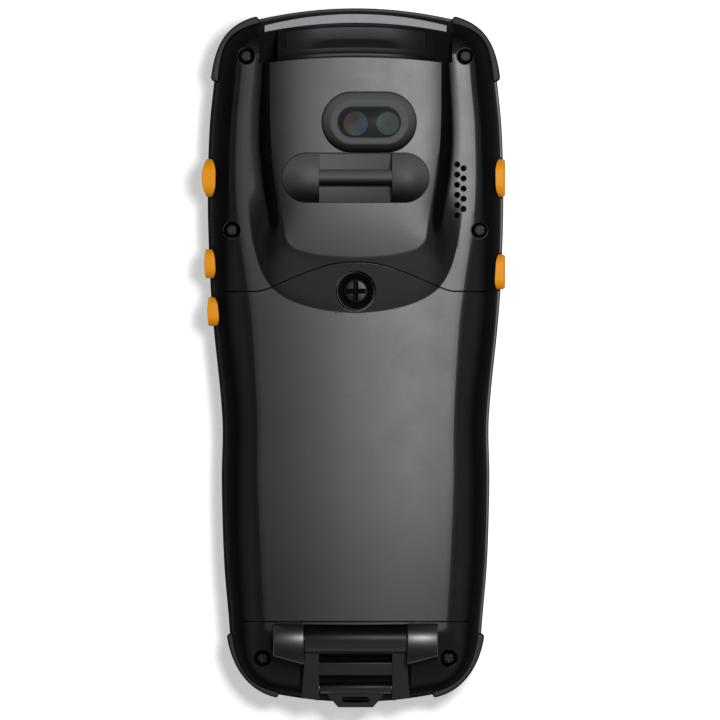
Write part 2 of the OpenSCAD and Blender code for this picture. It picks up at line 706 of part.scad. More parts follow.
pane_l = 14.9;
pane_r = 3.65;
led_d = 5.4;
led_x = 7.6;
module camera_bezel() {
    color("#2a2c2f") translate([camera_x, camera_y, pocket_z + 0.6]) difference() {
        union() {
            stadium(bezel_l, bezel_w / 2, bezel_w / 2, 1.3);
            translate([0, 0, 1.3]) stadium(bezel_l, bezel_w / 2, bezel_w / 2 - 2, 1.3);
        }
        translate([0, 0, 2.1]) stadium(pane_l + 0.1, pane_r + 0.05, pane_r + 0.05, 3);
        translate([0, 0, -1]) stadium(pane_l - 0.4, pane_r - 0.2, pane_r - 0.2, 8);
    }
}
module camera_window() {
    color("#39423f", 0.6) translate([camera_x, camera_y, pocket_z + 2.7])
        stadium(pane_l, pane_r, pane_r, 0.4);
}
module camera_module() {
    color("#3a2f52") translate([0, camera_y - 0.3, 0]) difference() {
        union() {
            translate([0, 0, pocket_z - 2]) cylinder(d = lens_d, h = 4.5);
            block(-4.2, 4.2, -4.2, 4.2, hump_z - 8, hump_z - 3.7);
        }
        translate([0, 0, pocket_z + 2]) cylinder(d = 2.4, h = 2);
    }
}
module flash_led() {
    color("#cfe0c4") translate([led_x, camera_y - 0.3, 0]) {
        translate([0, 0, pocket_z - 1.4]) cylinder(d = led_d, h = 3.9);
        block(-3, 3, -3, 3, hump_z - 5.6, hump_z - 3.7);
    }
}

// ---------- Strap anchor ----------

anchor_top = hump_z + 2.4;
anchor_r = 8.1;
anchor_gap_w = 17.2;
bar_sink = 0.2;
module strap_anchor() {
    color("#27292c") translate([0, anchor_y, 0]) union() {
        difference() {
            intersection() {
                translate([0, 0, pocket_z]) stadium(anchor_l, anchor_w / 2, anchor_w / 2, 8);
                translate([-30, 0, anchor_top - anchor_r]) rotate([0, 90, 0])
                    cylinder(r = anchor_r, h = 60, $fn = 96);
            }
            block(-anchor_gap_w / 2, anchor_gap_w / 2, -anchor_w / 2 + 1, anchor_w / 2 - 1,
                pocket_z + 0.5, anchor_top + 2);
        }
        translate([-anchor_gap_w / 2 - 1, 0, anchor_top - bar_w / 2 - bar_sink])
            rotate([0, 90, 0]) cylinder(d = bar_w, h = anchor_gap_w + 2);
    }
}

// ---------- Battery, cover and lock screw ----------

module battery_pack() {
    color("#33363b") translate([0, tub_y1 - 0.4 - pack_l / 2, tub_floor + 0.1]) difference() {
        rounded_box([pack_w, pack_l, pack_t], 2);
        block(-6.2, 6.2, pack_l / 2 - 1.6, pack_l / 2 + 1, -1, 4);
    }
}
module battery_contacts() {
    color("#c9a64a") translate([0, tub_y1 - 0.5, 0]) union() {
        block(-7, 7, -2.5, 0.2, board_top + 0.1, tub_floor - 0.1);
        for (i = [-2 : 2]) translate([i * 2.4, 0, 0]) block(-0.6, 0.6, -1, 0.2,
            tub_floor - 0.2, tub_floor + 3);
    }
}

edge_lean = 4.5;
module battery_cover() {
    color("#292b2e") difference() {
        union() {
            difference() {
                intersection() {
                    union() {
                        back_form();
                        hump_form();
                    }
                    cover_region(-seam / 2, cover_floor);
                }
                back_form(cover_wall);
                hump_form(cover_wall);
            }
            // boss round the lock screw
            intersection() {
                translate([0, lock_y, crease_z - 1.4]) cylinder(d = lock_seat_d + 2.6, h = 12);
                union() {
                    back_form();
                    hump_form();
                }
                cover_region(-seam / 2, cover_floor);
            }
            // hooked tabs
            for (s = [-1, 1]) {
                block(s * tab_x - tab_w / 2, s * tab_x + tab_w / 2, cover_foot - 2.4,
                    cover_foot + 3, tab_z, tab_z + 1.2);
                block(s * tab_x - tab_w / 2, s * tab_x + tab_w / 2, cover_foot + 0.5,
                    cover_foot + 3, tab_z, tab_z + 2.3);
            }
        }
        translate([0, lock_y, lock_z]) cylinder(d = lock_seat_d, h = 20);
        translate([0, lock_y, crease_z - 6]) cylinder(d = 4, h = 20);
        // the side edges lean back so that they swing clear
        translate([0, cover_side_y - seam / 2, crease_z - 0.3]) rotate([-edge_lean, 0, 0])
            for (s = [0, 1]) mirror([s, 0, 0]) block(head_half - 9, head_half + 5, 0, 5, -14, 0);
    }
}
lock_d = lock_seat_d - 0.6;
module lock_screw() {
    color("#101113") translate([0, lock_y, lock_z]) difference() {
        union() {
            translate([0, 0, 0.1]) cylinder(d = lock_d, h = 1.3);
            translate([0, 0, 1.3]) cylinder(d = 5.3, h = 0.4);
            translate([0, 0, -2.2]) cylinder(d = 3.2, h = 2.4);
            translate([0, 0, -2.3]) cylinder(d = 4.6, h = 0.4);
        }
        for (a = [0, 90]) rotate([0, 0, a]) translate([0, 0, 1.5]) cube([3.8, 0.9, 1.6], center = true);
    }
}

// ---------- Strap buckle and loop ----------

frame_len = 15.2;
flare_at = 4.6;
loop_at = 12.9;
plate_lo = -1.6;
plate_hi = 0.9;
module strap_buckle() {
    color("#1c1d1f") at_buckle() difference() {
        union() {
            translate([-buckle_w / 2, 0, 0]) rotate([0, 90, 0]) cylinder(r = barrel_r, h = buckle_w);
            for (s = [0, 1]) mirror([s, 0, 0]) translate([0, 0, plate_lo])
                linear_extrude(plate_hi - plate_lo) polygon([
                    [buckle_gap_w / 2, 0], [buckle_w / 2, 0], [buckle_w / 2, -flare_at],
                    [buckle_w / 2 + 0.65, -frame_len], [buckle_gap_w / 2, -frame_len]]);
            block(-buckle_gap_w / 2 - 0.5, buckle_gap_w / 2 + 0.5, -3.4, 0, plate_lo, plate_hi);
            block(-buckle_gap_w / 2 - 0.5, buckle_gap_w / 2 + 0.5, -9.4, -5.8, plate_lo, plate_hi - 0.2);
        }
        translate([-20, 0, 0]) rotate([0, 90, 0]) cylinder(d = pin_d + 0.1, h = 40);
        translate([-11.2, -loop_at, -0.3]) rotate([0, 90, 0]) cylinder(d = loop_pin_d, h = 22.4);
    }
}
module buckle_pin() {
    color("#8d9094") translate([-pin_half, pin_y, pin_z]) rotate([0, 90, 0])
        cylinder(d = pin_d, h = 2 * pin_half);
}
module loop_pin() {
    color("#8d9094") at_buckle() translate([-11, -loop_at, -0.3]) rotate([0, 90, 0])
        cylinder(d = loop_pin_d, h = 22);
}
loop_r = 1.3;
loop_len = 4.9;
module strap_loop() {
    color("#1a1b1d") at_buckle() translate([0, -loop_at, -0.3]) difference() {
        union() {
            translate([-buckle_gap_w / 2 + 0.2, 0, 0]) rotate([0, 90, 0])
                cylinder(r = loop_r, h = buckle_gap_w - 0.4);
            translate([0, 0, -0.9]) linear_extrude(1.5) polygon([
                [-6.9, 0], [6.9, 0], [6.3, -2.2], [4.1, -loop_len], [-4.1, -loop_len], [-6.3, -2.2]]);
        }
        translate([-10, 0, 0]) rotate([0, 90, 0]) cylinder(d = loop_pin_d + 0.1, h = 20);
        translate([0, -2.9, -3]) rounded_box([6.4, 1.5, 6], 0.7);
    }
}

// ---------- Boards and inner parts ----------

board_z = face_z + 6;
board_top = board_z + 1.6;
board_half = foot_half - 4.6;
module main_board() {
    color("#1d5a3a") union() {
        block(-board_half, board_half, foot_y + 21, top_y - 16, board_z, board_top);
        block(-16, 0, hump_y(30), hump_y(52), board_top - eps, board_top + 2.2);
        block(4, 15, hump_y(32), hump_y(44), board_top - eps, board_top + 1.8);
        block(-12, 6, foot_y + 51.5, foot_y + 69.5, board_top - eps, board_top + 2);
    }
}
module display_module() {
    color("#8b9197") translate([0, glass_y, face_z + face_t + 0.1])
        rounded_box([view_w - 0.4, glass_l - 1.6, board_z - face_z - face_t - 0.3], 1);
}
module touch_glass() {
    color("#0a0b0e") translate([0, glass_y, face_z]) rounded_box([glass_w, glass_l, glass_t], 2.8);
}
pad_half = foot_half - 3.5;
pad_z = key_flange_z + key_flange_t + key_travel + 0.15;
module keypad_board() {
    color("#226b46") difference() {
        block(-pad_half, pad_half, foot_y + 11.5, key_row_y + 19.6, pad_z, pad_z + 1);
        for (p = screw_places) translate([p[0], p[1], 0]) cylinder(r = post_r + 0.4, h = 20);
    }
}
module side_switches() {
    color("#9aa0a5") for (k = side_keys) {
        x = half_w(k[1]) - flange_in - 0.8 - side_travel - 0.15;
        mirror([k[0] < 0 ? 1 : 0, 0, 0]) translate([0, k[1], 0]) union() {
            block(x - 2.4, x, -1.6, 1.6, board_top + 0.6, key_z + 1.6);
            block(min(x - 2.4, board_half - 1.4), x, -1.6, 1.6, board_top + 0.05, board_top + 0.8);
        }
    }
}
module io_connector() {
    color("#b7babd") difference() {
        block(-connector_w / 2, connector_w / 2, foot_y + 0.3, foot_y + 7.6,
            connector_z - 2.5, connector_z + 2.5);
        block(-connector_w / 2 + 0.9, connector_w / 2 - 0.9, foot_y - 1, foot_y + 5,
            connector_z - 1.6, connector_z + 1.6);
    }
}
module card_socket() {
    color("#a9adb1") block(board_half - 15.4, board_half - 1.4, foot_y + 29.5, foot_y + 44.5,
        board_top + 0.1, board_top + 1.9);
}
module vibration_motor() {
    color("#b0b3b6") translate([5.4 - board_half, foot_y + 41.5, board_top + 0.1]) cylinder(d = 8, h = 2.8);
}
module antenna() {
    color("#c8a05a") block(0.4 - board_half, -engine_half - 1, head_y1 - 8, head_y1 - 2,
        board_top + 0.1, board_top + 3);
}
module speaker() {
    color("#55595d") block(head_half - 14.4, head_half - 8.8, hump_y(33), hump_y(48),
        crease_z - 5.4, crease_z - 2.3);
}

// ---------- Keys ----------

module scan_key_left() { color("#f2a01e") side_key(side_keys[0]); }
module volume_up_key() { color("#f2a01e") side_key(side_keys[1]); }
module volume_down_key() { color("#f2a01e") side_key(side_keys[2]); }
module scan_key_right() { color("#f2a01e") side_key(side_keys[3]); }
module power_key() { color("#f2a01e") side_key(side_keys[4]); }
module scan_key_front() { color("#f2a01e") front_key(0); }
module clear_key() { color("#9c3330") front_key(1); }
module enter_key() { color("#2f7d4a") front_key(2); }
module key_1() { color("#d9dbdc") front_key(3); }
module key_2() { color("#d9dbdc") front_key(4); }
module key_3() { color("#d9dbdc") front_key(5); }
module key_4() { color("#d9dbdc") front_key(6); }
module key_5() { color("#d9dbdc") front_key(7); }
module key_6() { color("#d9dbdc") front_key(8); }
module key_7() { color("#d9dbdc") front_key(9); }
module key_8() { color("#d9dbdc") front_key(10); }
module key_9() { color("#d9dbdc") front_key(11); }
module key_point() { color("#d9dbdc") front_key(12); }
module key_0() { color("#d9dbdc") front_key(13); }
module key_back() { color("#d9dbdc") front_key(14); }

front_housing();
rear_housing();
housing_gasket();
bumper_top_left();
bumper_top_right();
bumper_bottom_left();
bumper_bottom_right();
case_screws();
scan_window_frame();
scan_window();
scan_engine();
camera_bezel();
camera_window();
camera_module();
flash_led();
strap_anchor();
speaker();
battery_pack();
battery_contacts();
main_board();
display_module();
touch_glass();
keypad_board();
side_switches();
io_connector();
card_socket();
vibration_motor();
antenna();
buckle_pin();
loop_pin();
battery_cover();
lock_screw();
strap_buckle();
strap_loop();
scan_key_left();
volume_up_key();
volume_down_key();
scan_key_right();
power_key();
scan_key_front();
clear_key();
enter_key();
key_1();
key_2();
key_3();
key_4();
key_5();
key_6();
key_7();
key_8();
key_9();
key_point();
key_0();
key_back();
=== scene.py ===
# %% [markdown]
# # A handheld data terminal
#
# The terminal lies on its front, so the camera looks straight down on its back. Its case is two moulded
# shells, its battery sits under a curved cover, and its scan window looks out of one end. Everything here
# is built in the frame of the CAD model: metres, X across the case, Y to the scanner end, Z out of the
# back.

# %% Frame
import math

import bmesh
import bpy
import numpy as np
from mathutils import Matrix, Vector


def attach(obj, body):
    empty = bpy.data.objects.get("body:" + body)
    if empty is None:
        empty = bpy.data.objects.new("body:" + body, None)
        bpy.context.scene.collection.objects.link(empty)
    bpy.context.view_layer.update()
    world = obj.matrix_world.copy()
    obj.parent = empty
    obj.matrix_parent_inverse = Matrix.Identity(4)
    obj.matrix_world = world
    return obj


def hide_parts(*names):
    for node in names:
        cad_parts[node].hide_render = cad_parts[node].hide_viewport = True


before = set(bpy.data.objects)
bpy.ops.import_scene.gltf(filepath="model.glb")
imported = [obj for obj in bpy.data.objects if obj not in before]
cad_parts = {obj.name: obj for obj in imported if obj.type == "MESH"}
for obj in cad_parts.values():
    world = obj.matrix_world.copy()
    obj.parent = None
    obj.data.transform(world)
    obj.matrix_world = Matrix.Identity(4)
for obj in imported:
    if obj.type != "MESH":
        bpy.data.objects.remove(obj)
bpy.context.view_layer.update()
MM = 0.001
scene = bpy.context.scene
scene.view_settings.view_transform = "Standard"

# %% [markdown]
# ## Camera
#
# The photograph was taken square on, with hardly any perspective. A very long lens far away gives that
# look. One pixel of the 720 pixel frame covers 0.2367 mm, and the middle of the picture lies a little to
# the right of the case's middle line.

# %% Camera
def placed(name, data):
    thing = bpy.data.objects.new(name, data)
    scene.collection.objects.link(thing)
    return thing


PIXEL, FRAME_PIXELS = 0.2367, 720
LENS, SENSOR = 1000, 36
AIM_X, AIM_Y, AIM_Z = 1.04, -0.57, 13
view_width = PIXEL * FRAME_PIXELS * MM
camera_data = bpy.data.cameras.new("camera")
camera_data.lens = LENS
camera_data.sensor_width = SENSOR
camera_data.clip_start = 0.5
camera_data.clip_end = 20
camera = placed("camera", camera_data)
camera.location = (AIM_X * MM, AIM_Y * MM, AIM_Z * MM + view_width * LENS / SENSOR)
scene.camera = camera
print("camera height, m:", round(camera.location.z, 3))

# %% [markdown]
# ## Colour and nodes
#
# Colours are hex values, as a screen shows them, and one function converts them to the linear light that
# Blender's sockets want. Another fills a node's inputs with a number, a socket, or a whole node, which
# stands for its first output. That keeps each material short enough to read as a recipe.

# %% Colour and node helpers
def linear(hex_colour):
    channels = [int(hex_colour[i:i + 2], 16) / 255 for i in (1, 3, 5)]
    return (*[c / 12.92 if c <= 0.04045 else ((c + 0.055) / 1.055) ** 2.4 for c in channels], 1.0)


def fill(tree, node, inputs):
    for name, value in inputs.items():
        if isinstance(value, bpy.types.Node):
            value = next(s for s in value.outputs if s.enabled)
        if isinstance(value, bpy.types.NodeSocket):
            tree.links.new(value, node.inputs[name])
        else:
            node.inputs[name].default_value = value
    return node


def add(tree, kind, inputs=None, **settings):
    node = tree.nodes.new("ShaderNode" + kind)
    for name, value in settings.items():
        setattr(node, name, value)
    return fill(tree, node, inputs or {})


def new_material(name):
    material = bpy.data.materials.new(name)
    material.use_nodes = True
    tree = material.node_tree
    tree.nodes.clear()
    shader = add(tree, "BsdfPrincipled")
    add(tree, "OutputMaterial", {"Surface": shader})
    where = add(tree, "TexCoord").outputs["Object"]
    return material, tree, shader, where


def per_mm(size):
    return 1 / (size * MM)


def worn(tree, where, size, low, high, detail=5.0, rough=0.6):
    smears = add(tree, "TexNoise", {"Vector": where, "Scale": per_mm(size), "Detail": detail,
                                    "Roughness": rough})
    return add(tree, "MapRange", {"Value": smears, "To Min": low, "To Max": high})


print("mid grey in linear light:", round(linear("#808080")[0], 3))

# %% [markdown]
# ## Moulded plastics and rubbers
#
# Most of the case is injection-moulded, with a fine spark-eroded grain that breaks up reflections into a
# soft sheen. Rubber has a coarser, duller skin. Both are one recipe: a base colour that drifts a little, a
# grain in the bump, a roughness that wanders, and a Bevel node, because moulded edges are never razor
# sharp.
#
# A material with `wall` gets rougher and loses its sheen as a surface gets steeper, and its colour is
# painted darker there, as painted shade on the side walls. The hump's slope that faces the foot is painted
# lighter, its brow tone, as painted light. A material given a head tone blends to that second colour where
# it faces
# the head: painted light on the nylon, painted shade on the acetal. All of it is read from the piece's own
# normal, so it turns with the piece.

# %% Moulded material
FLAT, STEEP = 0.9, 0.66
BROW_FROM, BROW_TO = -0.2, -0.42
PAINTED_HEAD_FROM, PAINTED_HEAD_TO = -0.65, 0.4
HUMP_FROM, HUMP_TO = 4 * MM, 9 * MM
# Painted light for the hump's brow and painted shade for steep walls, both mixed into the base colour.
BROW_PAINTED_LIGHT, STEEP_PAINTED_SHADE, STEEP_SHEEN = "#292929", "#030304", 0.03


def facing(tree, part, lo, hi):
    parts = add(tree, "SeparateXYZ", {"Vector": add(tree, "TexCoord").outputs["Normal"]})
    side = parts.outputs[part]
    if part == "Z":
        side = add(tree, "Math", {0: side}, operation="ABSOLUTE")
    return add(tree, "MapRange", {"Value": side, "From Min": lo, "From Max": hi},
               interpolation_type="SMOOTHSTEP")


def moulded(name, colour, roughness, grain=0.5, depth=0.006, drift=0.12, edge=0.25, wall=0.0, sheen=0.5,
            painted_head_tone=None):
    material, tree, shader, where = new_material(name)
    fill(tree, shader, {"IOR": 1.5, "Specular IOR Level": sheen})
    patches = add(tree, "TexNoise", {"Vector": where, "Scale": per_mm(22), "Detail": 3.0, "Roughness": 0.55})
    low, high = [(*[min(1.0, c * k) for c in linear(colour)[:3]], 1.0) for k in (1 - drift, 1 + drift)]
    shade = add(tree, "Mix", {0: patches, 6: low, 7: high}, data_type="RGBA")
    rough = worn(tree, where, 9, roughness - 0.05, roughness + 0.05, 4.0, 0.62)
    # Where the piece faces the head its colour blends to the head tone: painted light on the nylon, painted
    # shade on the acetal.
    if painted_head_tone:
        headward = facing(tree, "Y", PAINTED_HEAD_FROM, PAINTED_HEAD_TO)
        shade = add(tree, "Mix", {0: headward, 6: shade, 7: linear(painted_head_tone)}, data_type="RGBA")
    if wall:
        up_case = add(tree, "SeparateXYZ", {"Vector": where}).outputs["Y"]
        on_hump = add(tree, "MapRange", {"Value": up_case, "From Min": HUMP_FROM, "From Max": HUMP_TO})
        # Brow mask: where the hump's slope faces the foot, the colour gets painted light.
        footward = facing(tree, "Y", BROW_FROM, BROW_TO)
        brow = add(tree, "Math", {0: footward, 1: on_hump}, operation="MULTIPLY")
        steep = facing(tree, "Z", FLAT, STEEP)
        # Mix the painted light on the brow and the painted shade on steep walls into the base colour.
        for share, tone in ((brow, BROW_PAINTED_LIGHT), (steep, STEEP_PAINTED_SHADE)):
            shade = add(tree, "Mix", {0: share, 6: shade, 7: linear(tone)}, data_type="RGBA")
        duller = add(tree, "Math", {0: steep, 1: wall}, operation="MULTIPLY")
        rough = add(tree, "Math", {0: rough, 1: duller}, operation="ADD")
        gloss = add(tree, "MapRange", {"Value": steep, "To Min": sheen, "To Max": STEEP_SHEEN})
        fill(tree, shader, {"Specular IOR Level": gloss})
    grit = add(tree, "TexNoise", {"Vector": where, "Scale": per_mm(grain), "Detail": 2.0, "Roughness": 0.6})
    corner = add(tree, "Bevel", {"Radius": edge * MM}, samples=4)
    bump = add(tree, "Bump", {"Height": grit, "Strength": 1.0, "Distance": depth * MM, "Normal": corner})
    fill(tree, shader, {"Base Color": shade, "Roughness": rough, "Normal": bump})
    return material


textured_abs = moulded("textured_abs_black", "#0b0c0d", 0.41, 0.35, wall=0.35, sheen=0.42)
satin_abs = moulded("satin_abs_black", "#0a0b0c", 0.45, 0.4, wall=0.35)
# Acetal: painted light where it faces the foot, painted shade where it faces the head.
acetal = moulded("acetal_black", "#2f2f30", 0.4, sheen=0.12, painted_head_tone="#060607")
bumper_rubber = moulded("thermoplastic_rubber_black", "#131416", 0.7, depth=0.02, edge=0.4, wall=0.15)
orange_silicone = moulded("silicone_orange", "#d68a04", 0.5, drift=0.05, edge=0.4, sheen=0.14)
grey_silicone = moulded("silicone_grey", "#c9cccd", 0.5, drift=0.04, edge=0.3)
red_silicone = moulded("silicone_red", "#8c2f2b", 0.5, drift=0.05, edge=0.3)
green_silicone = moulded("silicone_green", "#2b6e45", 0.5, drift=0.05, edge=0.3)
legend_ink = moulded("legend_ink_dark", "#16181a", 0.5, depth=0.002)
seal_rubber = moulded("seal_rubber_grey", "#1d1e20", 0.7, 0.4, 0.01)
grey_trim = moulded("satin_abs_grey", "#7b7d80", 0.6, 0.4, 0.004, drift=0.03)
# Near-black matte material: painted shade for recesses and gaps.
painted_shade_black = moulded("painted_shade_abs_black", "#050506", 0.85, depth=0.02, sheen=0.1)
# Nylon: painted light where it faces the head, painted shade where it faces the foot.
nylon = moulded("glass_filled_nylon_black", "#080808", 0.5, 0.4, sheen=0.14, painted_head_tone="#484849")
ear_gloss = moulded("polished_abs_black", "#0b0c0d", 0.41, 0.35, 0.004, sheen=0.84)
speaker_mesh = moulded("speaker_mesh_black", "#040404", 0.9, 0.3, 0.02, sheen=0.05)
battery_film = moulded("battery_film_grey", "#34373c", 0.45, 0.6)
print("moulded materials:", len(bpy.data.materials))

# %% [markdown]
# ## Glass, metal and boards
#
# The scan window is acrylic, dyed so dark that only its gloss shows. Its colour is painted lighter in the
# middle, a painted reflection, and darker towards its ends, painted shade, and its frame is painted darker
# towards its ends too. The screws are black oxide steel, the pins stainless steel, and the connectors nickel
# plated. A circuit board is green lacquer over copper tracks, which a brick pattern stands for.

# %% Gloss, metal and board materials
def polished(name, colour, roughness, coat=0.0, sheen=0.5):
    material, tree, shader, where = new_material(name)
    rough = worn(tree, where, 14, max(0.0, roughness - 0.03), roughness + 0.05)
    corner = add(tree, "Bevel", {"Radius": 0.12 * MM}, samples=4)
    fill(tree, shader, {"Base Color": linear(colour), "IOR": 1.5, "Specular IOR Level": sheen,
                        "Coat Weight": coat, "Coat Roughness": 0.03, "Roughness": rough, "Normal": corner})
    return material


def metal(name, colour, roughness):
    material, tree, shader, where = new_material(name)
    stretch = add(tree, "Mapping", {"Vector": where, "Scale": (1.0, 6.0, 6.0)})
    lines = add(tree, "TexNoise", {"Vector": stretch, "Scale": per_mm(1.2), "Detail": 3.0, "Roughness": 0.7})
    corner = add(tree, "Bevel", {"Radius": 0.1 * MM}, samples=4)
    bump = add(tree, "Bump", {"Height": lines, "Strength": 0.6, "Distance": 0.01 * MM, "Normal": corner})
    fill(tree, shader, {"Base Color": linear(colour), "Metallic": 1.0, "Roughness": roughness,
                        "Normal": bump})
    return material


def circuit_board(name, lacquer, copper):
    material, tree, shader, where = new_material(name)
    tracks = add(tree, "TexBrick", {"Vector": where, "Scale": per_mm(4), "Color1": linear(lacquer),
                                    "Color2": linear(copper), "Mortar": linear("#0f3d27"),
                                    "Mortar Size": 0.04, "Brick Width": 1.3, "Row Height": 0.45})
    bump = add(tree, "Bump", {"Height": tracks.outputs["Fac"], "Strength": 0.5, "Distance": 0.03 * MM})
    fill(tree, shader, {"Base Color": tracks.outputs["Color"], "Roughness": 0.35, "Normal": bump})
    return material


def window_plastic(name, middle, ends, roughness, half, sheen):
    material, tree, shader, where = new_material(name)
    across = add(tree, "SeparateXYZ", {"Vector": where}).outputs["X"]
    far = add(tree, "Math", {0: across}, operation="ABSOLUTE")
    # Towards the ends the colour goes to the end tone: painted shade at the ends, and on the pane a painted
    # reflection in the lighter middle.
    painted_end_shade = add(tree, "MapRange", {"Value": far, "From Min": half * 0.35 * MM, "From Max": half * MM},
               interpolation_type="SMOOTHSTEP")
    tint = add(tree, "Mix", {0: painted_end_shade, 6: linear(middle), 7: linear(ends)}, data_type="RGBA")
    rough = worn(tree, where, 14, roughness - 0.03, roughness + 0.04)
    dull = add(tree, "Mix", {0: painted_end_shade, 2: rough, 3: 0.9}, data_type="FLOAT")
    corner = add(tree, "Bevel", {"Radius": 0.15 * MM}, samples=4)
    fill(tree, shader, {"Base Color": tint, "Roughness": dull, "Specular IOR Level": sheen,
                        "Normal": corner})
    return material


# Pane: lighter middle is a painted reflection, darker ends are painted shade. Frame: darker ends are painted
# shade.
tinted_acrylic = window_plastic("tinted_acrylic_black", "#191a1c", "#070708", 0.08, 16.5, 0.2)
window_black = window_plastic("satin_polycarbonate_black", "#0c0c0d", "#020202", 0.3, 17.5, 0.12)
gloss_polycarbonate = polished("gloss_polycarbonate_black", "#060607", 0.3, sheen=0.1)
display_glass = polished("display_glass_black", "#06070a", 0.05, coat=1.0)
black_oxide = metal("black_oxide_steel", "#1c1d1f", 0.45)
stainless = metal("stainless_steel", "#6f7276", 0.5)
nickel_plate = metal("nickel_plate", "#b9bcbe", 0.28)
gold_plate = metal("gold_plate", "#d8ab4f", 0.25)
cast_zinc = metal("cast_zinc_grey", "#6b6f73", 0.45)
green_board = circuit_board("solder_mask_green", "#1a6a43", "#2d8a57")
print("materials so far:", len(bpy.data.materials))

# %% [markdown]
# ## Lens and lamp
#
# A coated lens shows violet and amber in wedges: painted reflections of its coating, put in its base colour.
# The lamp beside it is a clear cap over a pale phosphor, with fine spokes. Both patterns run round a centre,
# so they use the angle about it. The smoked glass over them is thin, and lets most of the light through.

# %% Lens and lamp materials
CAMERA_Y, LAMP_X = 55.2, 7.6
SPOKES = 16
# Painted reflections of the lens coating, in wedges by angle round the lens centre.
COATING_PAINTED_REFLECTIONS = [(0.0, "#643848"), (0.13, "#6c6430"), (0.3, "#2a606c"), (0.5, "#543c74"), (0.68, "#2a5a44"),
           (0.78, "#2a2630"), (0.9, "#6c364c"), (1.0, "#643848")]


def angle_about(tree, where, x, y):
    shifted = add(tree, "Mapping", {"Vector": where, "Location": (-x * MM, -y * MM, 0)})
    parts = add(tree, "SeparateXYZ", {"Vector": shifted})
    turn = add(tree, "Math", {0: parts.outputs["Y"], 1: parts.outputs["X"]}, operation="ARCTAN2")
    return add(tree, "MapRange", {"Value": turn, "From Min": -math.pi, "From Max": math.pi})


def coated_lens():
    material, tree, shader, where = new_material("coated_lens")
    ramp = add(tree, "ValToRGB", {"Fac": angle_about(tree, where, 0, CAMERA_Y)})
    ramp.color_ramp.interpolation = "B_SPLINE"
    while len(ramp.color_ramp.elements) < len(COATING_PAINTED_REFLECTIONS):
        ramp.color_ramp.elements.new(0.5)
    for element, (place, colour) in zip(ramp.color_ramp.elements, COATING_PAINTED_REFLECTIONS):
        element.position = place
        element.color = linear(colour)
    fill(tree, shader, {"Base Color": ramp, "Roughness": 0.5, "Specular IOR Level": 0.2})
    return material


def lamp_cap():
    material, tree, shader, where = new_material("lamp_cap_clear")
    turn = angle_about(tree, where, LAMP_X, CAMERA_Y)
    spokes = add(tree, "Math", {0: turn, 1: 2 * math.pi * SPOKES}, operation="MULTIPLY")
    wave = add(tree, "Math", {0: spokes}, operation="SINE")
    tint = add(tree, "Mix", {0: wave, 6: linear("#4c5c54"), 7: linear("#586860")}, data_type="RGBA")
    bump = add(tree, "Bump", {"Height": wave, "Strength": 0.15, "Distance": 0.02 * MM})
    fill(tree, shader, {"Base Color": tint, "Roughness": 0.5, "Specular IOR Level": 0.2, "Normal": bump})
    return material


def clear_glass(name, colour):
    material, tree, shader, where = new_material(name)
    rough = worn(tree, where, 5, 0.27, 0.33, 4.0)
    fill(tree, shader, {"Base Color": linear(colour), "Alpha": 0.3, "Specular IOR Level": 0.05,
                        "Roughness": rough})
    return material


lens_coating = coated_lens()
lamp_plastic = lamp_cap()
camera_glass = clear_glass("camera_glass_smoke", "#2c3330")
print("lens and lamp:", lens_coating.name, lamp_plastic.name)

# %% [markdown]
# ## Building solids
#
# Each piece is a stack of rings, closed at each end by one flat face, or by rows of small ones where the
# end is curved. Solids are then joined and carved with each other, as the moulding tool's halves and
# inserts would shape them. All numbers are in millimetres, and only the last step turns them into metres.

# %% Solid helpers
SIDEWAYS = Matrix(((0, 0, 1, 0), (1, 0, 0, 0), (0, 1, 0, 0), (0, 0, 0, 1)))


def solid(points, faces):
    mesh = bpy.data.meshes.new("form")
    mesh.from_pydata([tuple(c * MM for c in p) for p in points], [], faces)
    return placed("form", mesh)


def stack(rings, rows=0):
    n, last = len(rings[0]), (len(rings) - 1) * len(rings[0])
    faces = [(k + i, k + (i + 1) % n, k + n + (i + 1) % n, k + n + i)
             for k in range(0, last, n) for i in range(n)]
    if not rows:
        faces = [tuple(range(n - 1, -1, -1)), tuple(range(last, last + n))] + faces
    for j in range(rows - 1):
        ring = list(dict.fromkeys([j, j + 1, (n - j - 1) % n, (n - j) % n]))
        faces += [tuple(ring[::-1]), tuple(last + i for i in ring)]
    return solid([p for ring in rings for p in ring], faces)


def prism(outline, z0, z1):
    turn = sum(a[0] * b[1] - b[0] * a[1] for a, b in zip(outline, outline[1:] + outline[:1]))
    line = outline if turn > 0 else outline[::-1]
    return stack([[(x, y, z) for x, y in line] for z in (z0, z1)])


def box(x0, x1, y0, y1, z0, z1):
    return prism([(x0, y0), (x1, y0), (x1, y1), (x0, y1)], z0, z1)


def beam(half, y0, y1, z0, z1):
    return box(-half, half, y0, y1, z0, z1)


def circle(radius, n=64, x=0.0, y=0.0):
    return [(x + radius * math.cos(2 * math.pi * i / n), y + radius * math.sin(2 * math.pi * i / n))
            for i in range(n)]


def rounded(width, length, radius, n=8):
    points = []
    for k, (sx, sy) in enumerate(((1, 1), (-1, 1), (-1, -1), (1, -1))):
        for i in range(n + 1):
            a = math.pi / 2 * (k + i / n)
            points.append((sx * (width / 2 - radius) + radius * math.cos(a),
                           sy * (length / 2 - radius) + radius * math.sin(a)))
    return points


def stadium(length, radius, n=24):
    return rounded(length, 2 * radius, radius - 1e-4, n)


def moved(shape, x=0.0, y=0.0, z=0.0, turn=None):
    matrix = Matrix.Translation((x * MM, y * MM, z * MM))
    if turn:
        angle, axis = turn
        matrix = matrix @ Matrix.Rotation(math.radians(angle), 4, axis)
    shape.data.transform(matrix)
    return shape


def mirrored(shape):
    shape.data.transform(Matrix.Diagonal((-1, 1, 1, 1)))
    shape.data.flip_normals()
    return shape


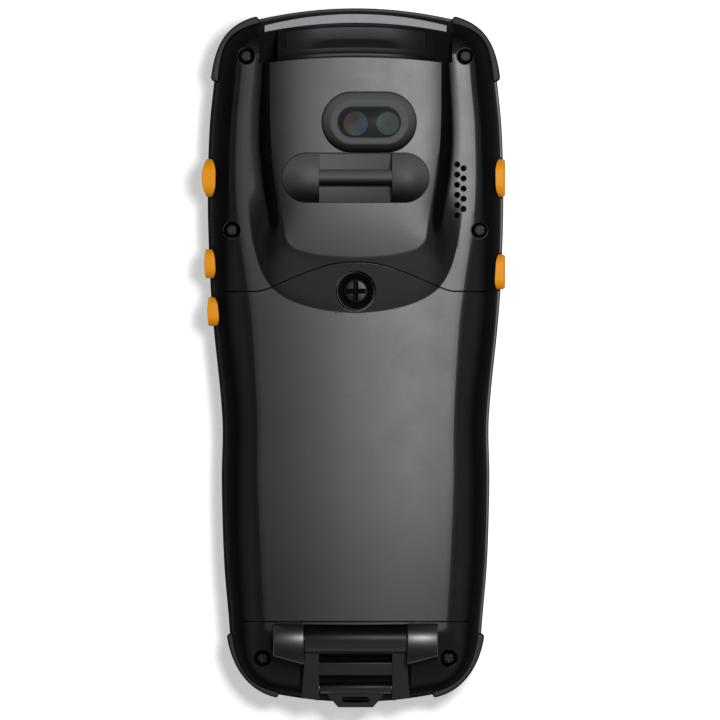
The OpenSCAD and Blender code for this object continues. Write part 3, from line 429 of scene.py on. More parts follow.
def slab(width, length, radius, z0, z1, x=0.0, y=0.0):
    return moved(prism(rounded(width, length, radius), z0, z1), x, y)


def peg(radius, z0, z1, x=0.0, y=0.0, n=40):
    return prism(circle(radius, n, x, y), z0, z1)


def rod(radius, x0, x1, y, z, n=64):
    shape = peg(radius, 0, x1 - x0, n=n)
    shape.data.transform(Matrix.Rotation(math.radians(90), 4, "Y"))
    return moved(shape, x0, y, z)


print("helpers ready: stack, prism, box, slab, peg, rod")

# %% [markdown]
# ## Carving and finishing
#
# A boolean is applied at once, so that each step works on the result of the one before. The last step
# smooths the faces up to a sharp angle, gives the material, and hands the piece to the body it moves with.
# The hump meets the panel at an angle below that limit, so its foot is marked as a sharp edge.

# %% Carving and finishing helpers
ON_BACK, FOOT_ANGLE = 0.03, 0.07


def baked(shape):
    graph = bpy.context.evaluated_depsgraph_get()
    graph.update()
    mesh = bpy.data.meshes.new_from_object(shape.evaluated_get(graph))
    old = shape.data
    shape.modifiers.clear()
    shape.data = mesh
    bpy.data.meshes.remove(old)
    return shape


def combine(shape, tool, how):
    step = shape.modifiers.new("step", "BOOLEAN")
    step.operation = how
    step.solver = "MANIFOLD"
    step.object = tool
    baked(shape)
    bpy.data.objects.remove(tool)
    return shape


def carve(shape, *tools):
    for tool in tools:
        combine(shape, tool, "DIFFERENCE")
    return shape


def join(shape, *tools):
    for tool in tools:
        combine(shape, tool, "UNION")
    return shape


def sliced(shape, step=1.5):
    mesh = bmesh.new()
    mesh.from_mesh(shape.data)
    reach = max(abs(v.co.x) for v in mesh.verts)
    for x in np.arange(-reach + step * MM, reach, step * MM):
        bmesh.ops.bisect_plane(mesh, geom=mesh.verts[:] + mesh.edges[:] + mesh.faces[:], plane_co=(x, 0, 0),
                               plane_no=(1, 0, 0))
    mesh.to_mesh(shape.data)
    mesh.free()
    return shape


def softened(shape, width, segments=3, angle=35):
    step = shape.modifiers.new("edge", "BEVEL")
    step.width = width * MM
    step.segments = segments
    step.limit_method = "ANGLE"
    step.angle_limit = math.radians(angle)
    step.harden_normals = False
    return baked(shape)


def finished(shape, name, material, body, node=None, sharp=32):
    shape.name = name
    shape.data.name = name
    shape.data.materials.clear()
    shape.data.materials.append(material)
    shape.data.shade_smooth()
    shape.data.set_sharp_from_angle(angle=math.radians(sharp))
    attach(shape, body)
    if node:
        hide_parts(node)
    return shape


def crisp_foot(shape):
    mesh = bmesh.new()
    mesh.from_mesh(shape.data)

    def on_back(face):
        x, y, z = (c / MM for c in face.calc_center_median())
        return abs(z - back_z(x, y)) < ON_BACK

    for edge in mesh.edges:
        if len(edge.link_faces) == 2 and edge.calc_face_angle() > FOOT_ANGLE:
            if on_back(edge.link_faces[0]) != on_back(edge.link_faces[1]):
                edge.smooth = False
    mesh.to_mesh(shape.data)
    mesh.free()


# %% [markdown]
# ## The outline
#
# Everything on the case follows its outline: wide at the head, narrow at the grip, and gently bowed at both
# ends. A few widths along the length are joined by a smooth curve, the corners are Bezier curves, and the
# ends are shallow arcs. The back's crease is drawn by the same function, so the two can be joined ring by
# ring.

# %% Outline
TOP_Y = 82.7
FOOT_Y = TOP_Y - 164.2
HEAD, WAIST, FOOT = 35.0, 31.55, 30.0
TOP_R, FOOT_R = 100, 95
STATION_Y = [FOOT_Y + d for d in (19.5, 33.5, 52.5, 67)]
STATION_Y += [TOP_Y - d for d in (74.7, 66.7, 46.7, 28.7, 16.7)]
STATION_W = [FOOT, FOOT + 1.15, WAIST + 0.15, WAIST, WAIST + 2.15, WAIST + 2.75, HEAD, HEAD - 0.4,
             HEAD - 1.57]
CREASE_W = [FOOT - 7.9, FOOT - 7.1, WAIST - 7.9, WAIST - 7.8, WAIST - 6.5, WAIST - 5.5, HEAD - 6.2,
            HEAD - 6.15, HEAD - 7.2]
ENDS, CORNERS, SIDES = 10, 12, 72
SIDE_LO, SIDE_HI = FOOT_Y + 16.5, TOP_Y - 18.2
FOOT_X, TOP_X = FOOT - 11.5, HEAD - 12.5
FOOT_BEND, TOP_BEND = ((7.4, 1.5), (-0.9, -7.5)), ((-0.9, 9), (8.8, -2))


def hermite(p0, p1, m0, m1, h, t):
    return (p0 * (2 * t ** 3 - 3 * t ** 2 + 1) + m0 * h * (t ** 3 - 2 * t ** 2 + t)
            + p1 * (3 * t ** 2 - 2 * t ** 3) + m1 * h * (t ** 3 - t ** 2))


def curve(xs, ys, x):
    ends = [(max(i - 1, 0), min(i + 1, len(xs) - 1)) for i in range(len(xs))]
    rates = [(ys[b] - ys[a]) / (xs[b] - xs[a]) for a, b in ends]
    i = max(0, min(len(xs) - 2, int(np.searchsorted(xs, x, side="right")) - 1))
    h = xs[i + 1] - xs[i]
    return hermite(ys[i], ys[i + 1], rates[i], rates[i + 1], h, (x - xs[i]) / h)


def half_w(y):
    return curve(STATION_Y, STATION_W, min(max(y, FOOT_Y + 14), TOP_Y - 14))


def crease_w(y):
    return curve(STATION_Y, CREASE_W, min(max(y, FOOT_Y + 14), TOP_Y - 10))


def foot_arc(x, d, y=FOOT_Y):
    return (x, y + d + x * x / (2 * FOOT_R))


def top_arc(x, d, y=TOP_Y):
    return (x, y - d - x * x / (2 * TOP_R))


def bend(start, end, leave, arrive, t):
    a, d = np.array(start, float), np.array(end, float)
    b, c = a + leave, d + arrive
    return tuple(a * (1 - t) ** 3 + b * 3 * t * (1 - t) ** 2 + c * 3 * t * t * (1 - t) + d * t ** 3)


def foot_corner(d, t):
    return bend(foot_arc(FOOT_X, d), (half_w(SIDE_LO) - d, SIDE_LO), *FOOT_BEND, t)


def top_corner(d, t):
    return bend((half_w(SIDE_HI) - d, SIDE_HI), top_arc(TOP_X, d), *TOP_BEND, t)


def half_line(d, width, foot, top, lo, hi, foot_bend, top_bend):
    (foot_x, foot_y), (top_x, top_y) = foot, top
    low, high = (width(lo) - d, lo), (width(hi) - d, hi)
    points = [foot_arc(foot_x * k / ENDS, d, foot_y) for k in range(ENDS)]
    points += [bend(foot_arc(foot_x, d, foot_y), low, *foot_bend, k / CORNERS) for k in range(CORNERS)]
    points += [(width(y) - d, y) for y in [lo + (hi - lo) * k / SIDES for k in range(SIDES)]]
    points += [bend(high, top_arc(top_x, d, top_y), *top_bend, k / CORNERS) for k in range(CORNERS)]
    return points + [top_arc(top_x * (1 - k / ENDS), d, top_y) for k in range(ENDS + 1)]


def outline_half(d):
    return half_line(d, half_w, (FOOT_X, FOOT_Y), (TOP_X, TOP_Y), SIDE_LO, SIDE_HI, FOOT_BEND, TOP_BEND)


def loop_of(half, open_end=False):
    last = len(half) if open_end else len(half) - 1
    return half + [(-p[0],) + tuple(p[1:]) for p in half[1:last][::-1]]


ROWS = len(outline_half(0))
print("outline points:", 2 * ROWS - 2, "width at the grip, mm:", round(2 * half_w(FOOT_Y + 67), 1))

# %% [markdown]
# ## The crease and the back
#
# Inside the crease the back is slightly crowned, and it droops a little at the foot. Outside it the wall
# turns down, gently at first and then steeply, until it meets the front shell. A moulding has no hard
# crease, so each ring's neighbours are averaged near it until it has a small radius.

# %% Crease and back
PARTING, CREASE_Z, CROWN = 12.5, 23.5, 1.5
DROOP, DROOP_FROM, DROOP_LENGTH = 0.6, -30, 32
SIDE_Z = PARTING + 1
SIDE_PULL, REAR_INSET = 0.48, 0.6
CREASE_FOOT, CREASE_TOP = FOOT_Y + 14.5, TOP_Y - 7.8
CREASE_LO, CREASE_HI = CREASE_FOOT + 3.6, CREASE_TOP - 4.6
WALL_STEPS = (1, 0.93, 0.86, 0.78, 0.7, 0.62, 0.54, 0.46, 0.38, 0.3, 0.23, 0.17, 0.12, 0.08, 0.04, 0.0)
PANEL_STEPS = (0.98, 0.955, 0.925, 0.89, 0.84, 0.78, 0.7, 0.6, 0.5, 0.4, 0.3, 0.2, 0.1)
FOOT_PTS = [(0, 10.4), (12.9, 12.4), (20.8, 17.7), (24.6, 29), (27, 50), (24, 71.5)]
RIM_PTS = [(0, 23.8), (10, 24.5), (15.6, 26.6), (17.3, 32), (19.9, 50), (20.3, 71.5)]
HUMP_ROWS = 12


def spline_line(points, n):
    pts = [np.array(p, float) for p in points]
    rates = [np.array([pts[1][0], 0.0])] + [(pts[i + 1] - pts[i - 1]) / 2 for i in range(1, len(pts) - 1)]
    rates.append(pts[-1] - pts[-2])
    line = [hermite(pts[i], pts[i + 1], rates[i], rates[i + 1], 1, k / n)
            for i in range(len(pts) - 1) for k in range(n)]
    return [tuple(p) for p in line] + [tuple(pts[-1])]


hump_foot = spline_line(FOOT_PTS, HUMP_ROWS)
hump_rim = spline_line(RIM_PTS, HUMP_ROWS)


def smooth_step(s):
    s = min(max(s, 0.0), 1.0)
    return s * s * (3 - 2 * s)


def back_z(x, y):
    droop = DROOP * max(0.0, (DROOP_FROM - y) / DROOP_LENGTH) ** 2
    return CREASE_Z + CROWN * (1 - (x / crease_w(y)) ** 2) - droop


def crease_line(d):
    foot = (crease_w(CREASE_LO) - 2.2, CREASE_FOOT)
    top = (crease_w(CREASE_HI) - 3.2, CREASE_TOP)
    return half_line(d, crease_w, foot, top, CREASE_LO, CREASE_HI, ((1.4, 0.1), (0, -1)),
                     ((-0.2, 2), (1.8, -0.3)))


def back_solid(d=0.0):
    outer, inner = outline_half(REAR_INSET + d), crease_line(d * 0.5)
    rings = [[(x, y, PARTING - (1 if d else 0)) for x, y in outer]]
    pull = SIDE_Z + SIDE_PULL * (CREASE_Z - SIDE_Z) - d
    for t in WALL_STEPS:
        s = 2 * t - t * t
        rings.append([(i[0] + (o[0] - i[0]) * s, i[1] + (o[1] - i[1]) * s,
                       (back_z(*i) - d) * (1 - t) ** 2 + 2 * t * (1 - t) * pull + t * t * (SIDE_Z - d * 0.3))
                      for i, o in zip(inner, outer)])
    for f in PANEL_STEPS:
        flat = [(x * f, y * (1 - 0.1 * (1 - f))) for x, y in inner]
        rings.append([(x, y, back_z(x, y) - d) for x, y in flat])
    grid = np.array(rings)
    for _ in range(3):
        grid[12:22] = 0.25 * grid[11:21] + 0.5 * grid[12:22] + 0.25 * grid[13:23]
    return stack([loop_of([tuple(p) for p in ring]) for ring in grid], ROWS)


print("crease half-width at the head, mm:", round(crease_w(36), 2))

# %% [markdown]
# ## The scan hump
#
# The hump grows out of the panel. Its foot and its flat top are two nested curves. Below, on the brow that
# faces the foot, the surface between them runs almost straight. Up its flanks it is slightly hollow. The
# top drops a little at its side edges and towards the brow, so that both turn softly.

# %% Hump
HUMP_Z, HUMP_CROWN, HUMP_END = 31.0, 0.7, 71.5
RIM_HALF, HUMP_REACH, FOOT_SINK = 20.3, 24, 0.04
EDGE_DROP, EDGE_FROM, EDGE_LENGTH = 0.65, 25, 12
BROW_DROP, BROW_END, BROW_LENGTH, BROW_SLOPE = 1.1, 44, 20, 0.6
FLANK_FROM, FLANK_LENGTH, HOLLOW = 24, 16, 0.56
TOP_STEPS = (0.98, 0.955, 0.925, 0.89, 0.85, 0.8, 0.74, 0.67, 0.58, 0.48, 0.36, 0.24, 0.12)


def hump_top(x, y, f, rim_y):
    brow = BROW_DROP * max(0.0, (BROW_END - y) / BROW_LENGTH) ** 2
    edge = EDGE_DROP * f ** 6 * smooth_step((rim_y - EDGE_FROM) / EDGE_LENGTH)
    return HUMP_Z - HUMP_CROWN * (x / RIM_HALF) ** 2 - edge - brow


def flank(s, y):
    brow = hermite(0, 1, BROW_SLOPE, BROW_SLOPE, 1, s)
    hollow = 0.1 * s + 0.25 * s ** 3 + 0.65 * smooth_step((s - HOLLOW) / (1 - HOLLOW))
    share = smooth_step((y - FLANK_FROM) / FLANK_LENGTH)
    return (1 - share) * brow + share * hollow


def hump_ring(s, d):
    k = 1 - d * (0.5 + 0.5 * s) / HUMP_REACH
    ring = []
    for lo, hi in zip(hump_foot, hump_rim):
        x, y = lo[0] + (hi[0] - lo[0]) * s, lo[1] + (hi[1] - lo[1]) * s
        low = back_z(*lo) - FOOT_SINK - d
        rise = hump_top(*hi, 1, hi[1]) - d - low
        ring.append((x * k, y + (HUMP_END - y) * (1 - k), low + rise * flank(s, lo[1])))
    return ring


def hump_solid(d=0.0):
    rings = [[(x, y, CREASE_Z - 3.5 - d) for x, y, _ in hump_ring(0, d)]]
    rings += [hump_ring(s, d) for s in np.linspace(0, 1, 22)]
    rim = hump_ring(1, d)
    for f in TOP_STEPS:
        inner = [(x * f, HUMP_END - (HUMP_END - y) * (1 - 0.1 * (1 - f)), y) for x, y, _ in rim]
        rings.append([(x, y, hump_top(x, y, f, rim_y) - d) for x, y, rim_y in inner])
    return stack([loop_of(ring, True) for ring in rings], len(rings[0]))


print("hump foot to top, mm:", round(HUMP_Z - back_z(0, 10.4), 2))

# %% [markdown]
# ## Where the cover parts from the shell
#
# The battery cover's upper seam climbs the hump's slope in a flat S. The same outline, a tenth of a
# millimetre larger or smaller, cuts the shell and trims the cover, which leaves a fine gap.

# %% Seam
SEAM, SEAM_Y = 0.24, 15.65
COVER_FOOT, COVER_FLOOR = FOOT_Y + 19.1, PARTING + 6
SEAM_PTS = [(0, 22.5), (6.1, 21.9), (13.2, 19.5), (19.1, 16.95), (22.6, 15.75), (27, SEAM_Y), (40, SEAM_Y)]


def cover_region(grow, z0):
    half = [(x, y + grow) for x, y in spline_line(SEAM_PTS, 14)]
    full = [(-x, y) for x, y in half[:0:-1]] + half
    return prism([(-40, COVER_FOOT - grow)] + full + [(40, COVER_FOOT - grow)], z0, 40)


print("seam points:", len(spline_line(SEAM_PTS, 14)))

# %% [markdown]
# ## Keys, screws and bumpers need room
#
# The places that both shells share are named once: the case screws, the side keys and the corner bands. A
# side key's row gives its side, its place along the case, its length, its height and how far out it
# reaches.

# %% Shared places
SCREWS = [(s * x, y, z) for s in (-1, 1)
          for x, y, z in ((HEAD - 9.1, TOP_Y - 11.45, 18.6), (HEAD - 5.7, 30.1, 18.6),
                          (FOOT - 8, FOOT_Y + 10.4, 16.0))]
SCREW_HEAD = 1.9
KEY_Z, KEY_GAP = PARTING + 0.7, 0.3
FLANGE_IN, FLANGE = 3.4, 0.9
SIDE_KEYS = {"scan_key_left": (-1, 42.5, 9.0, 9.6, 36.4), "volume_up_key": (-1, 22.2, 6.8, 6.8, 35.8),
             "volume_down_key": (-1, 10.9, 6.8, 6.8, 35.1), "scan_key_right": (1, 42.5, 9.0, 9.6, 35.4),
             "power_key": (1, 20.3, 8.3, 6.8, 35.4)}
BAND_OUT, BAND_IN, BAND_TOP = 0.85, 1.1, PARTING + 3


def side_block(x0, x1, y, length, height, side):
    shape = prism(rounded(length, height, min(length, height) * 0.36), x0, x1)
    shape.data.transform(SIDEWAYS)
    moved(shape, 0, y, KEY_Z)
    return mirrored(shape) if side < 0 else shape


def side_key_holes():
    return [side_block(28.5, 40, y, length + 2 * KEY_GAP, height + 2 * KEY_GAP, side)
            for side, y, length, height, _ in SIDE_KEYS.values()]


def bands(grow=0.0, n=28):
    made = []
    for side in (1, -1):
        for corner, (a0, a1), b0, top in ((top_corner, (0.05, 0.97), 0.02, BAND_TOP),
                                          (foot_corner, (0, 0.97), -0.03, BAND_TOP - 2)):
            outer = [corner(-BAND_OUT - grow, a0 + (a1 - a0) * k / n) for k in range(n + 1)]
            inner = [corner(BAND_IN + grow, b0 + (1 - b0) * k / n) for k in range(n + 1)]
            shape = prism(outer + inner[::-1], 0, top + grow)
            made.append(mirrored(shape) if side < 0 else shape)
    return made


print("screws:", len(SCREWS), "side keys:", len(SIDE_KEYS))

# %% [markdown]
# ## Rear shell
#
# The shell is the back and the hump joined, less the cover's field, the scan bay at the end, and a pocket
# for every part that is let into it. Below the cover a plain tub holds the battery. It has three materials:
# the back's texture, a near-black matte one that is painted shade in the bay, under the cover and under the
# camera glass, and a smoother one on the ears that hold the buckle, which hands polish.

# %% Rear shell
BAY_Y, BAY_W = TOP_Y - 12.6, 45.6
RIM_Z, RIM_IN, RIM_OUT = 19.5, TOP_Y - 3.55, TOP_Y - 1.5
HUMP_EDGE, EDGE_R, RIM_R, WEDGE_LEN = BAY_Y + 0.75, 172, 108, 8.9
POCKET = HUMP_Z - 2
TUB_LO, TUB_HI, TUB_FLOOR = COVER_FOOT + 3, 11.5, PARTING + 3.2
PACK_W, PACK_T = 39, 5.9
TAB_X, TAB_HALF = 15.9, 2.3
PIN_Y, PIN_Z, PIN_R = FOOT_Y + 15, CREASE_Z - 0.3, 1.1
BUCKLE_W, BARREL_R, TILT = 24.2, 3.1, 25
EAR_IN, EAR_OUT, EAR_R = BUCKLE_W / 2 + 0.15, 19.4, 3.9
EAR_LINE = [(3.65, -8.7), (3.75, 1), (3.3, 2.1), (2.4, 3.05), (1.2, 3.7), (0, 3.9), (-1.3, 3.85),
            (-2.6, 3.55), (-3.8, 3.05), (-5, 2.35), (-6.2, 1.5), (-6.2, -8.7)]
EAR_SLANT, EAR_LEAN = 15.6, 0.0875
ANCHOR_Y, ANCHOR_L, ANCHOR_W = 42.4, 34.6, 11.55
BEZEL_X, BEZEL_Y, BEZEL_L, BEZEL_W = 3.17, 55.5, 22.2, 14.2
LOCK_Y, LOCK_Z, LOCK_SEAT = 15.65, CREASE_Z + 0.2, 4.8
SOUND_HOLES = 11
SHELL, PAINTED_SHADE_SLOT, POLISHED = 0, 1, 2


def at_buckle(shape):
    return moved(shape, 0, PIN_Y, PIN_Z, (TILT, "X"))


def capsule(length, radius, z0, z1, x=0.0, y=0.0):
    return moved(prism(stadium(length, radius), z0, z1), x, y)


def ears():
    made = []
    for side in (-1, 1):
        ear = prism(EAR_LINE, EAR_IN, EAR_OUT)
        ear.data.transform(SIDEWAYS)
        for v in ear.data.vertices:
            v.co.z -= EAR_LEAN * (v.co.x - EAR_IN * MM)
        moved(ear, 0, PIN_Y, PIN_Z)
        carve(ear, moved(box(-15, 5, -8, 0, 0, 40), EAR_OUT, PIN_Y - EAR_R, 0, (EAR_SLANT, "Z")))
        softened(ear, 0.35, 3, 40)
        made.append(mirrored(ear) if side < 0 else ear)
    return made


def arc(radius, top, a0, a1):
    return [(radius * math.sin(a), top - radius + radius * math.cos(a)) for a in np.linspace(a0, a1, 40)]


def bay_rim():
    return prism(arc(86, RIM_OUT, -0.2526, 0.2526) + arc(RIM_R, RIM_IN, 0.2004, -0.2004), PARTING, RIM_Z)


def edge_y(x):
    return HUMP_EDGE - x * x / (2 * EDGE_R)


def bent(shape):
    for v in shape.data.vertices:
        x, y = v.co.x / MM, v.co.y / MM
        t = (y - BAY_Y) / WEDGE_LEN
        v.co.y = ((1 - t) * edge_y(x) + t * (BAY_Y + WEDGE_LEN - x * x / (2 * RIM_R))) * MM
    return shape


def frame_wedge(grow):
    top, end, low = RIM_Z + 9.3, WEDGE_LEN + grow, RIM_Z - 1.4 - grow
    line = [(-grow, low), (end, low), (end, RIM_Z + 0.9 + grow), (1.2 + grow, top + grow),
            (-grow, top + grow)]
    shape = prism(line, -18.4 - grow, 18.4 + grow)
    shape.data.transform(SIDEWAYS)
    return moved(shape, 0, BAY_Y)


def outer_form():
    return join(back_solid(), hump_solid())


rear = join(outer_form(), *ears())
carve(rear, cover_region(SEAM / 2, COVER_FLOOR - 0.1))
edge = [(x, edge_y(x)) for x in np.linspace(-30, 30, 61)]
beyond = prism(edge + [(30, 95), (-30, 95)], RIM_Z - 1, 50)
carve(rear, combine(slab(BAY_W, 40, 2.4, RIM_Z, 45, 0, HUMP_EDGE + 18), beyond, "INTERSECT"))
join(rear, beam(PACK_W / 2 + 2.4, COVER_FOOT - 1.5, 27, PARTING + 1, TUB_FLOOR + PACK_T - 0.4), bay_rim())
carve(rear, beam(26.4, 28, TOP_Y - 14.5, PARTING - 1, CREASE_Z - 2.4),
      beam(15.4, 30, TOP_Y - 13.5, PARTING, HUMP_Z - 3.6),
      beam(18, TOP_Y - 15.5, RIM_IN - 1, PARTING - 1, RIM_Z - 1.8),
      slab(PACK_W + 0.8, TUB_HI - TUB_LO, 1, TUB_FLOOR, 40, 0, (TUB_LO + TUB_HI) / 2),
      peg(2.4, TUB_FLOOR, 27, 0, LOCK_Y))
for side in (-1, 1):
    x0, x1 = side * TAB_X - TAB_HALF - 0.4, side * TAB_X + TAB_HALF + 0.4
    carve(rear, box(x0, x1, COVER_FOOT - 3.1, COVER_FOOT + 1.1, CREASE_Z - 5.6, CREASE_Z - 1.2),
          box(x0, x1, COVER_FOOT + 1, TUB_LO + 1, CREASE_Z - 3.3, CREASE_Z))
wide = BUCKLE_W / 2 + 1
recess = [(EAR_IN, 3), (EAR_IN, -4.6), (wide, -6.2), (wide, -25)]
carve(rear, at_buckle(prism([(-x, y) for x, y in recess] + recess[::-1], -2.5, 14)),
      rod(BARREL_R + 0.45, -EAR_IN, EAR_IN, PIN_Y, PIN_Z, 96), bent(sliced(frame_wedge(0.1))),
      capsule(BEZEL_L + 0.2, BEZEL_W / 2 + 0.1, POCKET + 0.6, 40, BEZEL_X, BEZEL_Y),
      capsule(ANCHOR_L + 0.2, ANCHOR_W / 2 + 0.1, POCKET, 40, 0, ANCHOR_Y))
for i in range(SOUND_HOLES):
    carve(rear, peg(0.675, 18, 30, 24 if i % 2 == 0 else 25.5, 45.6 - i * 1.2 + (i % 2) * 0.3, 20))
for radius, lo, hi, n in ((SCREW_HEAD + 0.2, 0, 12, 40), (1.15, -8, 1, 24)):
    carve(rear, *[peg(radius, z + lo, z + hi, x, y, n) for x, y, z in SCREWS])
carve(rear, *side_key_holes(), *bands(0.05))
finished(rear, "rear_shell", textured_abs, "case", "rear_housing")
crisp_foot(rear)
rear.data.materials.append(painted_shade_black)
rear.data.materials.append(ear_gloss)
for face in rear.data.polygons:
    x, y, z = (c / MM for c in face.center)
    # Faces in the bay, on the ledge in the cover's gap and under the camera glass get painted shade.
    in_bay = abs(x) < BAY_W / 2 + 0.05 and y > edge_y(x) - 0.05 and z > RIM_Z - 2
    under_cover = face.normal.z > 0.9 and COVER_FOOT - 0.3 < y < 24 and z < COVER_FLOOR + 3
    under_glass = abs(x - BEZEL_X) < 7.6 and abs(y - BEZEL_Y) < 3.8 and z < POCKET + 1
    on_ear = EAR_IN - 0.05 < abs(x) < EAR_OUT + 0.05 and y < PIN_Y + 4 and z > CREASE_Z + 0.6
    face.material_index = PAINTED_SHADE_SLOT if in_bay or under_cover or under_glass else POLISHED if on_ear else SHELL
print("rear shell faces:", len(rear.data.polygons))

# %% [markdown]
# A pale grey trim is let into the flat rim beyond the scan window. It has the rim's own outline, and is a
# twentieth of a millimetre thick.

# %% Rim trim
TRIM_SINK, TRIM_LIFT = 0.02, 0.03
trim = carve(bay_rim(), beam(30, 60, 90, PARTING - 1, RIM_Z - TRIM_SINK))
finished(moved(trim, 0, 0, TRIM_LIFT), "bay_rim_trim", grey_trim, "case")
print("rim trim at Z, mm:", round(RIM_Z + TRIM_LIFT, 2))

# %% [markdown]
# ## Battery cover
#
# The cover is the same outer surface inside the seam, less the same surface set in by its wall. It has a
# boss for the lock screw and two hooked tabs at its foot, and its skirt ends above the side keys. Its upper
# edges lean, so that they clear the shell as it tilts.

# %% Battery cover
WALL, EDGE_TILT = 1.6, -4.5
TAB_Z, SKIRT_X = CREASE_Z - 2.9, 26

cover = combine(outer_form(), cover_region(-SEAM / 2, COVER_FLOOR), "INTERSECT")
carve(cover, back_solid(WALL), hump_solid(WALL))
boss = combine(peg(LOCK_SEAT + 1.3, CREASE_Z - 1.4, 36, 0, LOCK_Y, 72), outer_form(), "INTERSECT")
join(cover, combine(boss, cover_region(-SEAM / 2, COVER_FLOOR), "INTERSECT"))
for side in (-1, 1):
    x0, x1 = side * TAB_X - TAB_HALF, side * TAB_X + TAB_HALF
    join(cover, box(x0, x1, COVER_FOOT - 2.4, COVER_FOOT + 3, TAB_Z, CREASE_Z - 1.7),
         box(x0, x1, COVER_FOOT + 0.5, COVER_FOOT + 3, TAB_Z, CREASE_Z - 0.6))
carve(cover, peg(LOCK_SEAT, LOCK_Z, 40, 0, LOCK_Y, 96), peg(2, 17, 30, 0, LOCK_Y))
for x0, x1 in ((SKIRT_X, 40), (-40, -SKIRT_X)):
    carve(cover, moved(box(x0, x1, 0, 5, -14, 0), 0, SEAM_Y - SEAM / 2, CREASE_Z - 0.3, (EDGE_TILT, "X")))
finished(cover, "battery_cover_shell", textured_abs, "cover", "battery_cover")
crisp_foot(cover)
print("cover faces:", len(cover.data.polygons))

# %% [markdown]
# ## Front shell
#
# From behind, the front shell is only a thin black edge. Turned over, it frames the display and the keypad,
# so it has real openings for each key, with the gap that a moulded key needs.

# %% Front shell
FACE_Z, FACE_T = 0.8, 2.0
GLASS_W, GLASS_L, GLASS_Y, GLASS_T = 57, 75, TOP_Y - 52.5, 1.1
KEY_ROW = FOOT_Y + 49.5
PITCH_X, PITCH_Y, KEY_W, KEY_H, KEY_R = 15.5, 10.5, 12, 7.2, 2.4
FRONT_KEYS = {"scan_key_front": (0, KEY_ROW + 13.4, 21, 11), "clear_key": (20.51, KEY_ROW + 13, 11.97, 8),
              "enter_key": (-20.51, KEY_ROW + 13, 11.97, 8)}
NUMBER_KEYS = [f"key_{digit}" for digit in range(1, 10)] + ["key_point", "key_0", "key_back"]
for i, name in enumerate(NUMBER_KEYS):
    FRONT_KEYS[name] = ((1 - i % 3) * PITCH_X, KEY_ROW - (i // 3) * PITCH_Y, KEY_W, KEY_H)

profile = [(1.8, FACE_Z), (1.2, FACE_Z + 0.15), (0.7, FACE_Z + 0.45), (0.3, FACE_Z + 1),
           (0.05, FACE_Z + 1.8), (0, FACE_Z + 3), (0, PARTING - 0.25), (0.12, PARTING - 0.06),
           (0.3, PARTING)]
front = stack([loop_of([(x, y, z) for x, y in outline_half(d)]) for d, z in profile], ROWS)
carve(front, prism(loop_of(outline_half(2.6)), FACE_Z + FACE_T, PARTING + 1))
carve(front, slab(53, 70.5, 1.5, -1, 8, 0, GLASS_Y))
carve(front, slab(GLASS_W + 0.3, GLASS_L + 0.3, 3, -1, FACE_Z + GLASS_T + 0.1, 0, GLASS_Y))
for x, y, width, depth in FRONT_KEYS.values():
    carve(front, slab(width + 2 * KEY_GAP, depth + 2 * KEY_GAP, KEY_R + KEY_GAP, -1, 6, x, y))
carve(front, *side_key_holes(), *bands(0.05), beam(9.6, FOOT_Y - 2, FOOT_Y + 8, 4, 9.2))
for x, y, _ in SCREWS:
    join(front, peg(2.6, FACE_Z + 0.5, PARTING - 0.1, x, y, 32))
finished(front, "front_shell", satin_abs, "case", "front_housing")
print("front shell faces:", len(front.data.polygons))

# %% [markdown]
# ## Corner bumpers
#
# Soft rubber is moulded over each corner. It stands a little proud of the case to take the knocks, and its
# rims are well rounded, because rubber can't hold a sharp edge.

# %% Corner bumpers
CORNER_NAMES = ("bumper_top_right", "bumper_bottom_right", "bumper_top_left", "bumper_bottom_left")
for name, shape in zip(CORNER_NAMES, bands()):
    finished(softened(shape, 0.55, 4, 50), name + "_rubber", bumper_rubber, "case", name, 50)
print("bumpers:", len(CORNER_NAMES))

# %% [markdown]
# ## Case screws and lock screw
#
# The six case screws are small cross-recess screws with a black finish. The lock screw is a plastic
# turn-screw: a ring with a steep dark dish, and a raised disc with two V grooves that cross, for a coin or
# a driver.

# %% Screws
HEAD_LINE = [(1.0, 0), (SCREW_HEAD, 0), (SCREW_HEAD, 0.7), (1.78, 1.0), (1.45, 1.25), (1.0, 1.4), (0.5, 1.4)]
SLOT = (1.0, 0.225)
LOCK_LINE = [(2.1, -2.3), (2.3, -2.2), (2.3, -1.9), (1.6, -1.9), (1.6, 0.1), (4.5, 0.1), (4.5, 1.25),
             (4.42, 1.36), (4.3, 1.38), (4.15, 1.32), (2.9, 0.5), (2.72, 0.42), (2.68, 0.5), (2.66, 1.5),
             (2.55, 1.66), (2.3, 1.7)]
GROOVE_LINE = [(-0.6, 2), (-0.6, 1.71), (0, 1.2), (0.6, 1.71), (0.6, 2)]


def turned(line, n):
    return stack([[(x, y, z) for x, y in circle(r, n)] for r, z in line])


def groove(turns):
    shape = prism(GROOVE_LINE, -2.4, 2.4)
    shape.data.transform(Matrix.Rotation(math.radians(90), 4, "X"))
    if turns:
        shape.data.transform(Matrix.Rotation(math.radians(90), 4, "Z"))
    return shape


heads = []
for x, y, z in SCREWS:
    slots = [beam(a, -b, b, 0.8, 2) for a, b in (SLOT, SLOT[::-1])]
    heads.append(moved(carve(turned([(1.0, 5 - z)] + HEAD_LINE, 48), *slots), x, y, z))
screws = join(heads[0], *heads[1:])
finished(screws, "case_screw_heads", black_oxide, "case", "case_screws")
lock = carve(turned(LOCK_LINE, 96), groove(0), groove(1))
finished(moved(lock, 0, LOCK_Y, LOCK_Z), "lock_screw_head", gloss_polycarbonate, "lock", "lock_screw")
print("screws made:", len(heads) + 1)

# %% [markdown]
# ## Scan window
#
# A wedge of black plastic carries the window at 45 degrees, so the scanner looks out over the end of the
# case. Both are cut into slices across, so that they can be bent to the bay's curve.

# %% Scan window
WINDOW_W, WINDOW_ANGLE = 33, -45
half = WINDOW_W / 2


